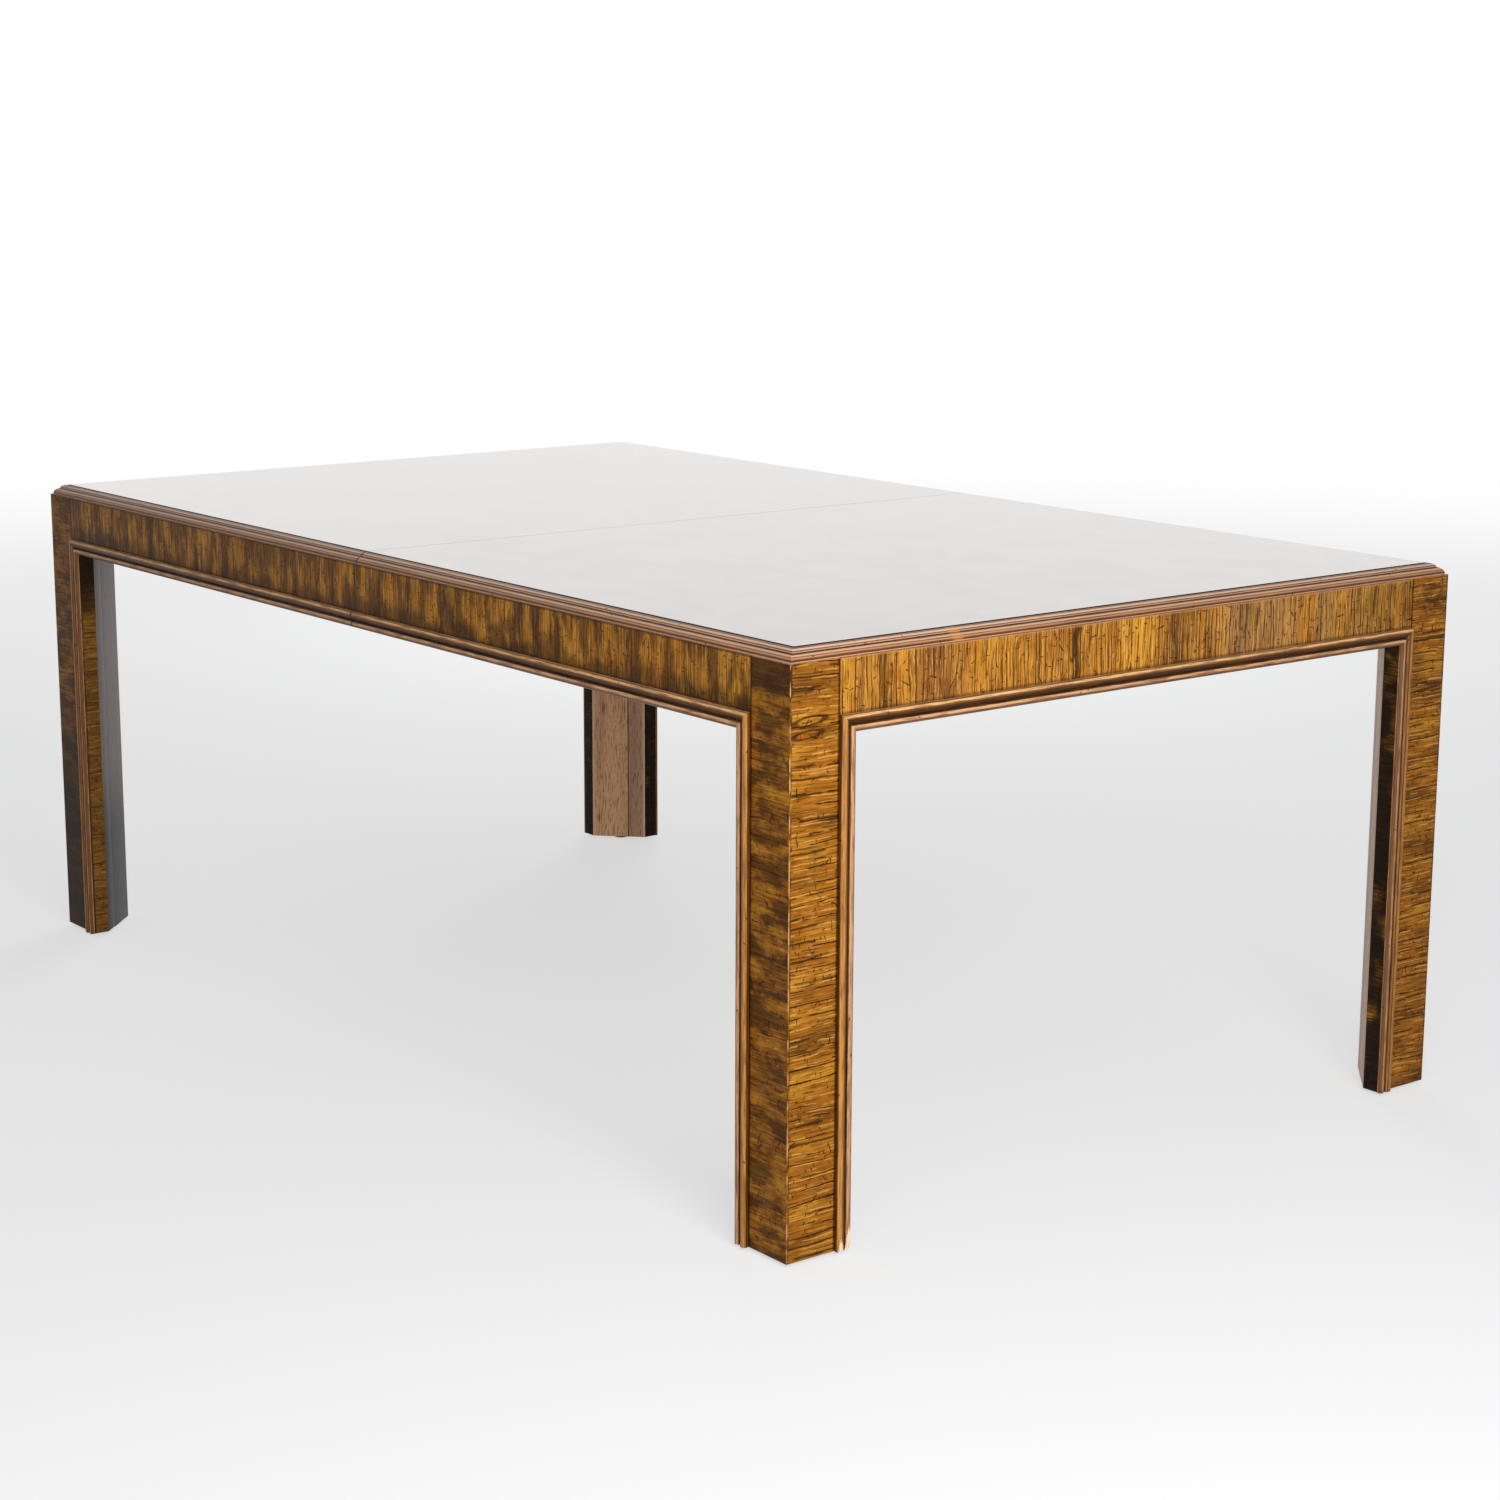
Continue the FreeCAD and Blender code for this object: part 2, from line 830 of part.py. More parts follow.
def catch_screws():
    reach = catch_width / 2 - plate_screw_edge
    return [plate_screw(post_x, lock_middle + side * reach) for side in (-1, 1)]


def lock_base():
    low = (lock_pivot_x - lock_base_length / 2, lock_middle - lock_base_width / 2, lock_level)
    high = (lock_pivot_x + lock_base_length / 2, lock_middle + lock_base_width / 2, carcass_top)
    return cut_all(box(low, high), base_screws() + [lock_pivot()])


def lock_pivot():
    """The rivet that the lever turns on."""
    foot = vec(lock_pivot_x, lock_middle, lever_bottom - lever_clearance - pivot_head_height)
    pin = cylinder(pivot_diameter / 2, carcass_top - foot.z, foot, vec(0, 0, 1))
    head = cylinder(pivot_head_diameter / 2, pivot_head_height, foot, vec(0, 0, 1))
    return pin.fuse(head).removeSplitter()


def lock_catch():
    low = (seam_face + catch_seam_margin, lock_middle - catch_width / 2, lock_level)
    high = (seam_face + catch_seam_margin + catch_length, lock_middle + catch_width / 2, carcass_top)
    plate = cut_all(box(low, high), catch_screws())
    post_foot = vec(post_x, lock_middle, lock_level - post_length)
    post = cylinder(post_diameter / 2, post_length, post_foot, vec(0, 0, 1))
    return plate.fuse(post).removeSplitter()


def lock_lever():
    """The lever, drawn locked along +X and then swung back to its open place along -Y."""
    pivot = vec(lock_pivot_x, lock_middle, lever_bottom)
    tip = lock_pivot_x + lever_radius + lever_half_width
    tail = lock_pivot_x - lever_handle_reach
    arm = box((tail, lock_middle - lever_half_width, lever_bottom),
              (tip, lock_middle + lever_half_width, lever_top))
    handle = box((tail, lock_middle - lever_half_width, lever_bottom - lever_handle_depth),
                 (tail + lever_thickness, lock_middle + lever_half_width, lever_bottom))
    slot_reach = post_diameter / 2 + lever_clearance
    outer = cylinder(lever_radius + slot_reach, lever_thickness, pivot, vec(0, 0, 1))
    inner = cylinder(lever_radius - slot_reach, lever_thickness, pivot, vec(0, 0, 1))
    corners = [pivot]
    for turn in (-lever_slot_overrun, lever_slot_turn):
        reach = lever_radius + lever_width
        corners.append(pivot + vec(reach * math.cos(turn), reach * math.sin(turn), 0))
    sector = prism(corners, vec(0, 0, lever_thickness))
    slot = outer.cut(inner).common(sector)
    bore = cylinder(pivot_diameter / 2 + pivot_bore_gap, lever_thickness, pivot, vec(0, 0, 1))
    lever = arm.fuse(handle).cut(slot).cut(bore).removeSplitter()
    lever.rotate(vec(lock_pivot_x, lock_middle, 0), vec(0, 0, 1), -90)
    return lever


# Top panels and the seam

def seam_holes(half):
    """What the table pins take out of the left half, and their sockets out of the right half."""
    hole = table_pin if half == "left" else socket_hole
    return [hole(y, z) for y, z in pin_places()]


def top_panel(half):
    """One half of the top, with the holes for the screws, pins or sockets of that half."""
    hand = rail_hands[half]
    inner = half_width - top_moulding_inset
    low = (seam_face, -inner, carcass_top)
    high = (half_length - top_moulding_inset, inner, table_height)
    panel = in_half(half, box(low, high))
    plate_screws = base_screws() if half == "left" else catch_screws()
    rail_screws = [rail_screw(x, hand) for x in rail_screw_places(hand)]
    return cut_all(panel, both_sets(rail_screws + plate_screws) + seam_holes(half))


os.makedirs("parts", exist_ok=True)

for half in ("left", "right"):
    hand = rail_hands[half]
    save(half + "_top_panel", top_panel(half))
    save(half + "_end_top_moulding", in_half(half, end_top_moulding()))
    save(half + "_end_apron", in_half(half, end_apron()))
    save(half + "_end_frame_moulding", in_half(half, end_head_moulding()))

    for row in ("front", "back"):
        name = half + "_" + row
        apron = in_corner(half, row, side_apron())
        uprights = [leg_moulding(on_side), leg_moulding(on_end)]
        save(name + "_top_moulding", in_corner(half, row, side_top_moulding()))
        save(name + "_apron", cut_all(apron, seam_holes(half)))
        save(name + "_frame_moulding", in_corner(half, row, side_head_moulding()))
        save(name + "_leg", *[in_corner(half, row, board) for board in leg()])
        save(name + "_leg_mouldings", *[in_corner(half, row, upright) for upright in uprights])

    save(half + "_leg_glides", *both_sets([in_half(half, glide())]))
    save(half + "_corner_braces", *both_sets([in_half(half, corner_brace())]))
    save(half + "_brace_bolts", *both_sets([in_half(half, piece) for piece in hanger_bolts()]))
    save(half + "_glue_blocks", *[in_half(half, block) for block in glue_blocks()])
    save(half + "_slide_rails", *both_sets([side_rail(hand)]))
    save(half + "_slide_packers", *both_sets([rail_packer(hand)]))
    save(half + "_slide_racks", *both_sets([rack(hand)]))
    save(half + "_slide_screws", *both_sets([rail_screw(x, hand) for x in rail_screw_places(hand)]))
    save(half + "_slide_stop_pins", *both_sets([stop_pin(hand)]))

save("centre_slide_rails", *both_sets([centre_rail()]))
save("slide_stop_plates", *both_sets(stop_plates()))
save("pinion_axles", *both_sets([pinion_axle()]))
save("back_pinion", pinion())
save("front_pinion", mirror_y(pinion()))

save("table_pins", *[table_pin(y, z) for y, z in pin_places()])
save("pin_sockets", *[pin_socket(y, z) for y, z in pin_places()])

save("lock_bases", *both_sets([lock_base()]))
save("lock_pivots", *both_sets([lock_pivot()]))
save("lock_catches", *both_sets([lock_catch()]))
save("back_lock_lever", lock_lever())
save("front_lock_lever", mirror_y(lock_lever()))
save("left_lock_screws", *both_sets(base_screws()))
save("right_lock_screws", *both_sets(catch_screws()))
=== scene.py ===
import bpy
import bmesh
import json
import math
import random
from mathutils import Matrix, Vector

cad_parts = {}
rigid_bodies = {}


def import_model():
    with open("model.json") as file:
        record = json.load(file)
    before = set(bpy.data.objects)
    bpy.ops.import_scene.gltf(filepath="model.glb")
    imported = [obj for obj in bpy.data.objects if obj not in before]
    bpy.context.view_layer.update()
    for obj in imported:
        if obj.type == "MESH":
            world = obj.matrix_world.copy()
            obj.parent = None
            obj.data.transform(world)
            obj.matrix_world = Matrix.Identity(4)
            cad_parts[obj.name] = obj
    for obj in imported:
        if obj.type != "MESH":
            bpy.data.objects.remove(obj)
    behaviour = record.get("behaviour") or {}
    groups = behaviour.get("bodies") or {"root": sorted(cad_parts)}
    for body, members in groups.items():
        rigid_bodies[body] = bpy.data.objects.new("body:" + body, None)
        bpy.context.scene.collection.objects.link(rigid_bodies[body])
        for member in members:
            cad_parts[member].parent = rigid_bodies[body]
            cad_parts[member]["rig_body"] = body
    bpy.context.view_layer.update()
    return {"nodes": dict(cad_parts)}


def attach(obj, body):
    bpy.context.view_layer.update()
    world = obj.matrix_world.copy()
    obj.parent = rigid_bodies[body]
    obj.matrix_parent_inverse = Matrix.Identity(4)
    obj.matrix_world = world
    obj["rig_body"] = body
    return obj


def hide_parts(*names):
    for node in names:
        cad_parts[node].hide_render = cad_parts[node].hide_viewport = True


# Extension dining table with square corner legs, dressed piece by piece in the order in which it
# is put together. Lengths are in metres and +Z is up. The half at +X slides away from the half at
# -X, and the front is the long side at -Y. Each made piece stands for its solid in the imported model.
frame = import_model()
nodes = frame["nodes"]
scene = bpy.context.scene


# Legs
# Each leg is glued up from two thick hardwood boards, and its inner corner is cut off. Level-grained
# veneer covers the square faces; the cut corner is bare board. Both are stained, glazed and lacquered.

table_length = 1.930
table_width = 1.150
half_length = table_length / 2
half_width = table_width / 2
carcass_top = 0.7272
shoulder = 0.6608
leg_foot = 0.005
board_thickness = 0.0254
leg_face_width = 0.0735
bead_band_width = 0.022
leg_width = leg_face_width + bead_band_width
arris_ease = 0.0009
glue_line_ease = 0.0004

half_signs = {"left": -1, "right": 1}
row_signs = {"front": -1, "back": 1}
corners = [(half, row) for half in half_signs for row in row_signs]


def corner_matrix(half, row):
    """From corner measures (in from the end face, in from the side face, height) to the table's own."""
    x_sign = half_signs[half]
    y_sign = row_signs[row]
    return Matrix((
        (-x_sign, 0, 0, x_sign * half_length),
        (0, -y_sign, 0, y_sign * half_width),
        (0, 0, 1, 0),
        (0, 0, 0, 1),
    ))


def block(outline, travel):
    """A solid of faces: a flat outline carried along a vector."""
    solid = bmesh.new()
    base = solid.faces.new([solid.verts.new(point) for point in outline])
    carried = bmesh.ops.extrude_face_region(solid, geom=[base])["geom"]
    moved = [part for part in carried if isinstance(part, bmesh.types.BMVert)]
    bmesh.ops.translate(solid, verts=moved, vec=travel)
    bmesh.ops.recalc_face_normals(solid, faces=solid.faces[:])
    return solid


def ease(solid, width, is_worn):
    """Round the edges whose two ends both pass the test."""
    edges = [edge for edge in solid.edges if all(is_worn(vert.co) for vert in edge.verts)]
    bmesh.ops.bevel(solid, geom=edges, offset=width, segments=2, profile=0.5, affect="EDGES")


touching = 1e-5


def near(first, second):
    return abs(first - second) < touching


def mesh_from(solid, name):
    mesh = bpy.data.meshes.new(name)
    solid.to_mesh(mesh)
    solid.free()
    return mesh


def carve(mesh, cutters):
    """The mesh with each cutter taken out; a cutter's own finish shows on the faces that it leaves."""
    blank = bpy.data.objects.new("blank", mesh)
    tools = [bpy.data.objects.new("cutter", cutter) for cutter in cutters]
    for item in [blank] + tools:
        scene.collection.objects.link(item)
    for tool in tools:
        step = blank.modifiers.new("cut", "BOOLEAN")
        step.operation = "DIFFERENCE"
        step.solver = "EXACT"
        step.material_mode = "TRANSFER"
        step.object = tool
    depsgraph = bpy.context.evaluated_depsgraph_get()
    result = bpy.data.meshes.new_from_object(blank.evaluated_get(depsgraph))
    for item in [blank] + tools:
        bpy.data.objects.remove(item)
    return result


# how far along and across the same wood the pieces may be cut from
wood_reach = 9


def lay_grain(mesh, grain_of, finish_of, chance):
    """Give each face its finish and its grain map: the place along and across the grain, in metres."""
    layer = mesh.uv_layers.new(name="grain")
    start = (chance.uniform(0, wood_reach), chance.uniform(0, wood_reach))
    for face in mesh.polygons:
        along = grain_of(face.normal)
        across = face.normal.cross(along)
        face.material_index = finish_of(face.normal)
        side = (face.normal.x + 2 * face.normal.y, 2 * face.normal.x - face.normal.y)
        for index in face.loop_indices:
            place = mesh.vertices[mesh.loops[index].vertex_index].co
            layer.data[index].uv = (
                start[0] + side[0] + place.dot(along),
                start[1] + side[1] + place.dot(across),
            )


def set_up(mesh, matrix):
    """Move a mesh to its place, with its faces still outwards where the move mirrors it."""
    mesh.transform(matrix)
    if matrix.determinant() < 0:
        mesh.flip_normals()
    return mesh


crease_angle = math.radians(16)


def stand_in(node, mesh, finishes):
    """Show a finished mesh in place of its solid, on the same body."""
    piece = bpy.data.objects.new(node + "_made", mesh)
    scene.collection.objects.link(piece)
    chosen = [face.material_index for face in mesh.polygons]
    mesh.materials.clear()
    for finish in finishes:
        mesh.materials.append(finish)
    mesh.polygons.foreach_set("material_index", chosen)
    mesh.shade_smooth()
    mesh.set_sharp_from_angle(angle=crease_angle)
    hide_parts(node)
    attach(piece, nodes[node]["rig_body"])


def tone(code):
    """A colour as a screen shows it, in six hex digits, as the numbers that a shader takes."""
    channels = [int(code[start:start + 2], 16) / 255 for start in (0, 2, 4)]
    linear = [c / 12.92 if c <= 0.04045 else ((c + 0.055) / 1.055) ** 2.4 for c in channels]
    return (*linear, 1.0)


def add_node(tree, kind, inputs, **settings):
    """A node with these settings, each of its inputs set to a value or joined to another node."""
    node = tree.nodes.new(kind)
    for name, value in settings.items():
        setattr(node, name, value)
    for name, value in inputs.items():
        if isinstance(value, bpy.types.NodeSocket):
            tree.links.new(value, node.inputs[name])
        else:
            node.inputs[name].default_value = value
    return node


line_wander_share = 0.6
line_core_share = 0.4
line_row_shift = 3.7
line_fade = 0.06
knock_core_share = 0.35
knock_wobble_sizes = (0.004, 0.004, 0.004)
knock_wobble_share = 3


class Finish:
    """A material built up as a finisher works: ground, figure, glaze and marks, then the top coat."""

    def __init__(self, name, ground):
        self.material = bpy.data.materials.new(name)
        self.material.use_nodes = True
        self.tree = self.material.node_tree
        self.tree.nodes.clear()
        self.ground = tone(ground)
        self.relief = None

    def add(self, kind, inputs, **settings):
        return add_node(self.tree, kind, inputs, **settings)

    def grain_map(self):
        return self.add("ShaderNodeUVMap", {}, uv_map="grain").outputs["UV"]

    def table_place(self):
        return self.add("ShaderNodeTexCoord", {}).outputs["Object"]

    def parts(self, place):
        split = self.add("ShaderNodeSeparateXYZ", {"Vector": place})
        return split.outputs["X"], split.outputs["Y"], split.outputs["Z"]

    def number(self, operation, first, second=0.0):
        return self.add("ShaderNodeMath", {0: first, 1: second}, operation=operation).outputs[0]

    def size_of(self, value):
        return self.number("ABSOLUTE", value)

    def product(self, *values):
        total = values[0]
        for value in values[1:]:
            total = self.number("MULTIPLY", total, value)
        return total

    def fainter(self, share, loss):
        """One, less this loss where the share is full."""
        return self.number("SUBTRACT", 1.0, self.number("MULTIPLY", share, loss))

    def level(self, value, none_at, full_at):
        """A soft step from 0 to 1 between two values."""
        node = self.add("ShaderNodeMapRange", {"Value": value, "From Min": none_at, "From Max": full_at},
                        interpolation_type="SMOOTHSTEP")
        return node.outputs["Result"]

    def noise(self, place, sizes, detail=2.0, roughness=0.5, distortion=0.0):
        """Cloudy variation whose patches have about these sizes along the three directions."""
        scale = tuple(1 / size for size in sizes)
        stretched = self.add("ShaderNodeMapping", {"Vector": place, "Scale": scale}).outputs["Vector"]
        inputs = {"Vector": stretched, "Scale": 1.0, "Detail": detail, "Roughness": roughness,
                  "Distortion": distortion}
        return self.add("ShaderNodeTexNoise", inputs).outputs["Fac"]

    def drift(self, place, sizes, reach, detail=2.0):
        """Cloudy variation to both sides of zero, at most half of this reach from it."""
        clouds = self.noise(place, sizes, detail)
        return self.number("MULTIPLY", self.number("SUBTRACT", clouds, 0.5), reach)

    def cloud(self, place, sizes, detail, roughness, tones, distortion=0.0):
        """Cloudy variation painted in tones: none at, full at, colour and strength of each."""
        clouds = self.noise(place, sizes, detail, roughness, distortion)
        for none_at, full_at, code, strength in tones:
            self.paint(self.level(clouds, none_at, full_at), code, strength)
        return clouds

    def moved(self, place, x=0.0, y=0.0, z=0.0):
        step = self.add("ShaderNodeCombineXYZ", {"X": x, "Y": y, "Z": z}).outputs["Vector"]
        return self.add("ShaderNodeVectorMath", {0: place, 1: step}, operation="ADD").outputs["Vector"]

    def paint(self, share, code, strength=1.0):
        """Lay a colour over the ground where the share is above nothing."""
        if strength != 1.0:
            share = self.number("MULTIPLY", share, strength)
        node = self.add("ShaderNodeMix", {0: share, 6: self.ground, 7: tone(code)}, data_type="RGBA")
        self.ground = node.outputs[2]

    def press(self, share, depth):
        """Sink the surface by a depth where the share is full."""
        sunk = self.number("MULTIPLY", share, -depth)
        self.relief = sunk if self.relief is None else self.number("ADD", self.relief, sunk)

    def grain_lines(self, place, spacing, thickness, length, shown_at):
        """Thin lines along the grain, one at its own place in each row, and broken along their way."""
        along, across, _ = self.parts(place)
        row = self.number("DIVIDE", across, spacing)
        count = self.number("FLOOR", row)
        lot = self.add("ShaderNodeTexWhiteNoise", {"W": count}, noise_dimensions="1D").outputs["Value"]
        wander = self.number("MULTIPLY", lot, line_wander_share)
        middle = self.number("ADD", count, self.number("ADD", wander, (1 - line_wander_share) / 2))
        off_line = self.size_of(self.number("SUBTRACT", row, middle))
        off_line = self.number("MULTIPLY", off_line, spacing)
        where = self.add("ShaderNodeCombineXYZ", {
            "X": self.number("DIVIDE", along, length),
            "Y": self.number("MULTIPLY", count, line_row_shift),
        }).outputs["Vector"]
        breaks = self.noise(where, (1.0, 1.0, 1.0), detail=1.0)
        return self.product(self.level(off_line, thickness, thickness * line_core_share),
                            self.level(breaks, shown_at, shown_at + line_fade))

    def knocks(self, place, spacing, length, thickness, share, curl, heading=0.0, scatter=math.tau):
        """Short curved dents, one in some of the cells of a loose net, lying about one heading."""
        net = self.add("ShaderNodeVectorMath", {0: place, "Scale": 1 / spacing}, operation="SCALE")
        net = net.outputs["Vector"]
        cells = self.add("ShaderNodeTexVoronoi", {"Vector": net, "Scale": 1.0}, voronoi_dimensions="2D")
        lots = self.add("ShaderNodeSeparateColor", {"Color": cells.outputs["Color"]})
        away = self.add("ShaderNodeVectorMath", {0: net, 1: cells.outputs["Position"]},
                        operation="SUBTRACT").outputs["Vector"]
        turn = self.number("MULTIPLY", self.number("SUBTRACT", lots.outputs["Red"], 0.5), scatter)
        turned = self.add("ShaderNodeVectorRotate",
                          {"Vector": away, "Angle": self.number("SUBTRACT", turn, heading)},
                          rotation_type="Z_AXIS").outputs["Vector"]
        along, aside, _ = self.parts(turned)
        bend = self.number("MULTIPLY", self.number("SUBTRACT", lots.outputs["Green"], 0.5), curl)
        bowed = self.number("ADD", aside, self.product(bend, along, along))
        wobble = self.drift(place, knock_wobble_sizes, knock_wobble_share * thickness / spacing)
        off_line = self.number("MULTIPLY", self.size_of(self.number("ADD", bowed, wobble)), spacing)
        reach = self.number("MULTIPLY", self.size_of(along), spacing)
        return self.product(
            self.level(off_line, thickness, thickness * knock_core_share),
            self.level(reach, length / 2, length * knock_core_share),
            self.number("GREATER_THAN", lots.outputs["Blue"], 1 - share),
        )

    def top_coat(self, roughness, coat, coat_roughness, clarity=0.5, extra=None):
        """Close the material with a lacquer of this weight and smoothness."""
        inputs = {"Base Color": self.ground, "Roughness": roughness, "Coat Weight": coat,
                  "Coat Roughness": coat_roughness, "Specular IOR Level": clarity}
        inputs.update(extra or {})
        if self.relief is not None:
            bump = self.add("ShaderNodeBump", {"Height": self.relief, "Strength": 1.0, "Distance": 1.0})
            inputs["Normal"] = bump.outputs["Normal"]
            inputs["Coat Normal"] = bump.outputs["Normal"]
        shader = self.add("ShaderNodeBsdfPrincipled", inputs)
        self.add("ShaderNodeOutputMaterial", {"Surface": shader.outputs["BSDF"]})
        return self.material


# how far the grain wanders across itself: sizes of the bends, and their reach
grain_wander = ((0.090, 0.045, 1.0), 0.009)
grain_ripple = ((0.014, 0.007, 1.0), 0.0024)
# layers of the veneer's figure: sizes, detail, roughness, and tones (none at, full at, colour, strength)
patch_layer = (2.5, 0.55, ((0.50, 0.68, "DA9A30", 0.65), (0.49, 0.33, "5E3A12", 0.75)))
mottle_layer = ((0.026, 0.009, 1.0), 3.5, 0.65, ((0.52, 0.70, "5C3810", 0.55), (0.45, 0.30, "DCA246", 0.45)))
streak_layer = ((0.045, 0.0022, 1.0), 2.5, 0.65, ((0.51, 0.66, "4C2A0A", 0.52), (0.46, 0.34, "E6AE58", 0.45)))
glaze_layer = ((0.10, 0.08, 1.0), 2.5, 0.5, ((0.55, 0.74, "34200C", 0.5),))
spot_layer = ((0.009, 0.007, 1.0), 1.5, 0.5, ((0.66, 0.72, "2B1506", 0.6),))
spot_shift = 1.9
# kinds of knock: shift of their net, spacing, length, half thickness, share of the cells, curl,
# heading, scatter about it, colour and depth
veneer_knocks = ((6.1, 0.012, 0.0065, 0.0009, 0.34, 0.8, math.pi / 2, 1.2, "35190A", 0.0001),
                 (0.0, 0.036, 0.014, 0.0012, 0.45, 3.2, 0.0, math.tau, "1C0C04", 0.0003),
                 (3.7, 0.019, 0.0050, 0.0011, 0.30, 0.6, 0.0, math.tau, "24110A", 0.0002))
knock_strength = 0.85
line_depth = 0.00006
# painted shade in clouds on the long sides: shift, make, and its pale and dark tones
side_shade_shift = 4.4
side_shade_make = {"detail": 3.5, "roughness": 0.6}
side_shade_pale = (0.45, 0.34, "D2952E")
side_shade_dark = (0.45, 0.58, "241204")
# how deep behind an outer face its own finish reaches
face_depth = 0.004
# where an edge is rubbed pale: sizes and step of its broken lengths, its width, colour and strength
worn_sizes = (0.022, 0.022, 0.022)
worn_breaks = (0.42, 0.60)
worn_width = (0.0013, 0.0007)
worn_tone = ("D8A070", 0.8)
veneer_lacquer = {"roughness": 0.42, "coat": 0.02, "coat_roughness": 0.2, "clarity": 0.06}


def veneer_ground(name, ground, patch_sizes, leaves=None):
    """The golden brown cross-grained veneer of legs and aprons, before its glaze and knocks."""
    finish = Finish(name, ground)
    place = finish.grain_map()
    wander = finish.drift(place, *grain_wander, detail=1.0)
    ripple = finish.drift(place, *grain_ripple, detail=1.0)
    place = finish.moved(place, y=finish.number("ADD", wander, ripple))
    finish.cloud(place, patch_sizes, *patch_layer)
    if leaves:
        for share, colour, strength in leaves(finish, place):
            finish.paint(share, colour, strength)
    finish.cloud(place, *mottle_layer)
    finish.cloud(place, *streak_layer)
    return finish, place


def draw_lines(finish, place, line_sets, where):
    """The thin dark and pale lines of the figure, fainter where the share is less than full."""
    for spacing, thickness, length, shown_at, colour, strength in line_sets:
        lines = finish.product(finish.grain_lines(place, spacing, thickness, length, shown_at), where)
        finish.paint(lines, colour, strength)
        finish.press(lines, line_depth)


def glaze_and_knock(finish, place):
    """Glaze wiped on thicker in places, and the knocks that were beaten in before it."""
    finish.cloud(place, *glaze_layer)
    finish.cloud(finish.moved(place, x=spot_shift), *spot_layer)
    for shift, spacing, length, thickness, share, curl, heading, scatter, colour, depth in veneer_knocks:
        marks = finish.knocks(finish.moved(place, x=shift), spacing, length, thickness, share, curl,
                              heading, scatter)
        finish.paint(marks, colour, knock_strength)
        finish.press(marks, depth)


def cloudy_side_shade(finish, place, where, sizes, strength):
    """Painted shade in dark clouds, with paler gold patches, over part of a surface on the long sides."""
    clouds = finish.noise(finish.moved(place, y=side_shade_shift), sizes, **side_shade_make)
    for (none_at, full_at, code), share in ((side_shade_pale, strength / 2), (side_shade_dark, strength)):
        finish.paint(finish.product(where, finish.level(clouds, none_at, full_at)), code, share)


def table_gaps(finish):
    """How far in a point lies from the end face and the side face, the greater of both, and its height."""
    x, y, z = finish.parts(finish.table_place())
    end_gap = finish.number("SUBTRACT", half_length, finish.size_of(x))
    side_gap = finish.number("SUBTRACT", half_width, finish.size_of(y))
    return end_gap, side_gap, finish.number("MAXIMUM", end_gap, side_gap), z


def on_face(finish, gap):
    """Full on the outer face that the gap is measured from, and nothing behind it."""
    return finish.level(gap, face_depth, face_depth / 2)


def on_left_front(finish, x, y):
    """Full on the leg at the left front, and nothing on the others."""
    return finish.product(finish.number("LESS_THAN", x, 0.0), finish.number("LESS_THAN", y, 0.0))


def worn_arris(finish, gap, place):
    """Edges rubbed through to pale wood, in broken lengths."""
    broken = finish.level(finish.noise(place, worn_sizes, detail=3.0), *worn_breaks)
    finish.paint(finish.product(finish.level(gap, *worn_width), broken), *worn_tone)


# sets of thin lines in the legs' veneer: spacing, half thickness, length, threshold, colour, strength
leg_lines = ((0.0380, 0.0020, 0.060, 0.53, "321804", 0.75), (0.0150, 0.0012, 0.055, 0.44, "261003", 0.90),
             (0.0064, 0.0008, 0.032, 0.47, "3A1E08", 0.75), (0.0087, 0.0011, 0.040, 0.48, "E8B058", 0.45))
# marks in the end faces: middle y and z, half length, half height, and whether only its rim is dark
end_marks = ((-0.546, 0.659, 0.023, 0.0050, True), (-0.549, 0.643, 0.021, 0.0045, True),
             (-0.545, 0.695, 0.006, 0.0030, False), (0.540, 0.642, 0.040, 0.0016, False),
             (0.538, 0.572, 0.034, 0.0016, False))
# the dark cloud at the top of the right back leg's end face: middle y and z, half length, half height
end_cloud = (0.5425, 0.700, 0.024, 0.030)
mark_tilt = 0.08
mark_rim = (0.34, 0.14)
mark_edge = (1.3, 0.7)


def mark(finish, y, z, middle_y, middle_z, reach, rise, rim_only):
    """An eye or a stain in the figure, a little higher towards the back."""
    off_y = finish.number("SUBTRACT", y, middle_y)
    tilted = finish.number("ADD", middle_z, finish.number("MULTIPLY", off_y, mark_tilt))
    off_y = finish.number("DIVIDE", off_y, reach)
    off_z = finish.number("DIVIDE", finish.number("SUBTRACT", z, tilted), rise)
    radius = finish.number("SQRT", finish.number("ADD", finish.product(off_y, off_y),
                                                 finish.product(off_z, off_z)))
    if rim_only:
        return finish.level(finish.size_of(finish.number("SUBTRACT", radius, 1.0)), *mark_rim)
    return finish.level(radius, *mark_edge)


leg_patch_sizes = (0.20, 0.045, 1.0)
leg_line_loss = 0.35
leg_side_shade = ((0.060, 0.030, 1.0), 0.68)
blotch_sizes = (0.020, 0.010, 1.0)
blotch_step = (0.36, 0.60)
# heights between which painted shade darkens the left front leg: its side face towards the floor, and, as the
# top's painted shadow, its inner edge upwards
side_shade_heights = (0.50, 0.20)
inner_edge_shadow_heights = (0.50, 0.60)
inner_edge_fade = (0.003, 0.0005)
# painted shade beside the moulding; darker just above the floor, and a dark band under the top on the right
# legs' side faces
shade_beside_moulding = (0.0040, 0.0012)
foot_dark_top = 0.030
top_band_edge = ((0.05, 0.02, 1.0), 0.03)
top_band_step = (0.682, 0.696)


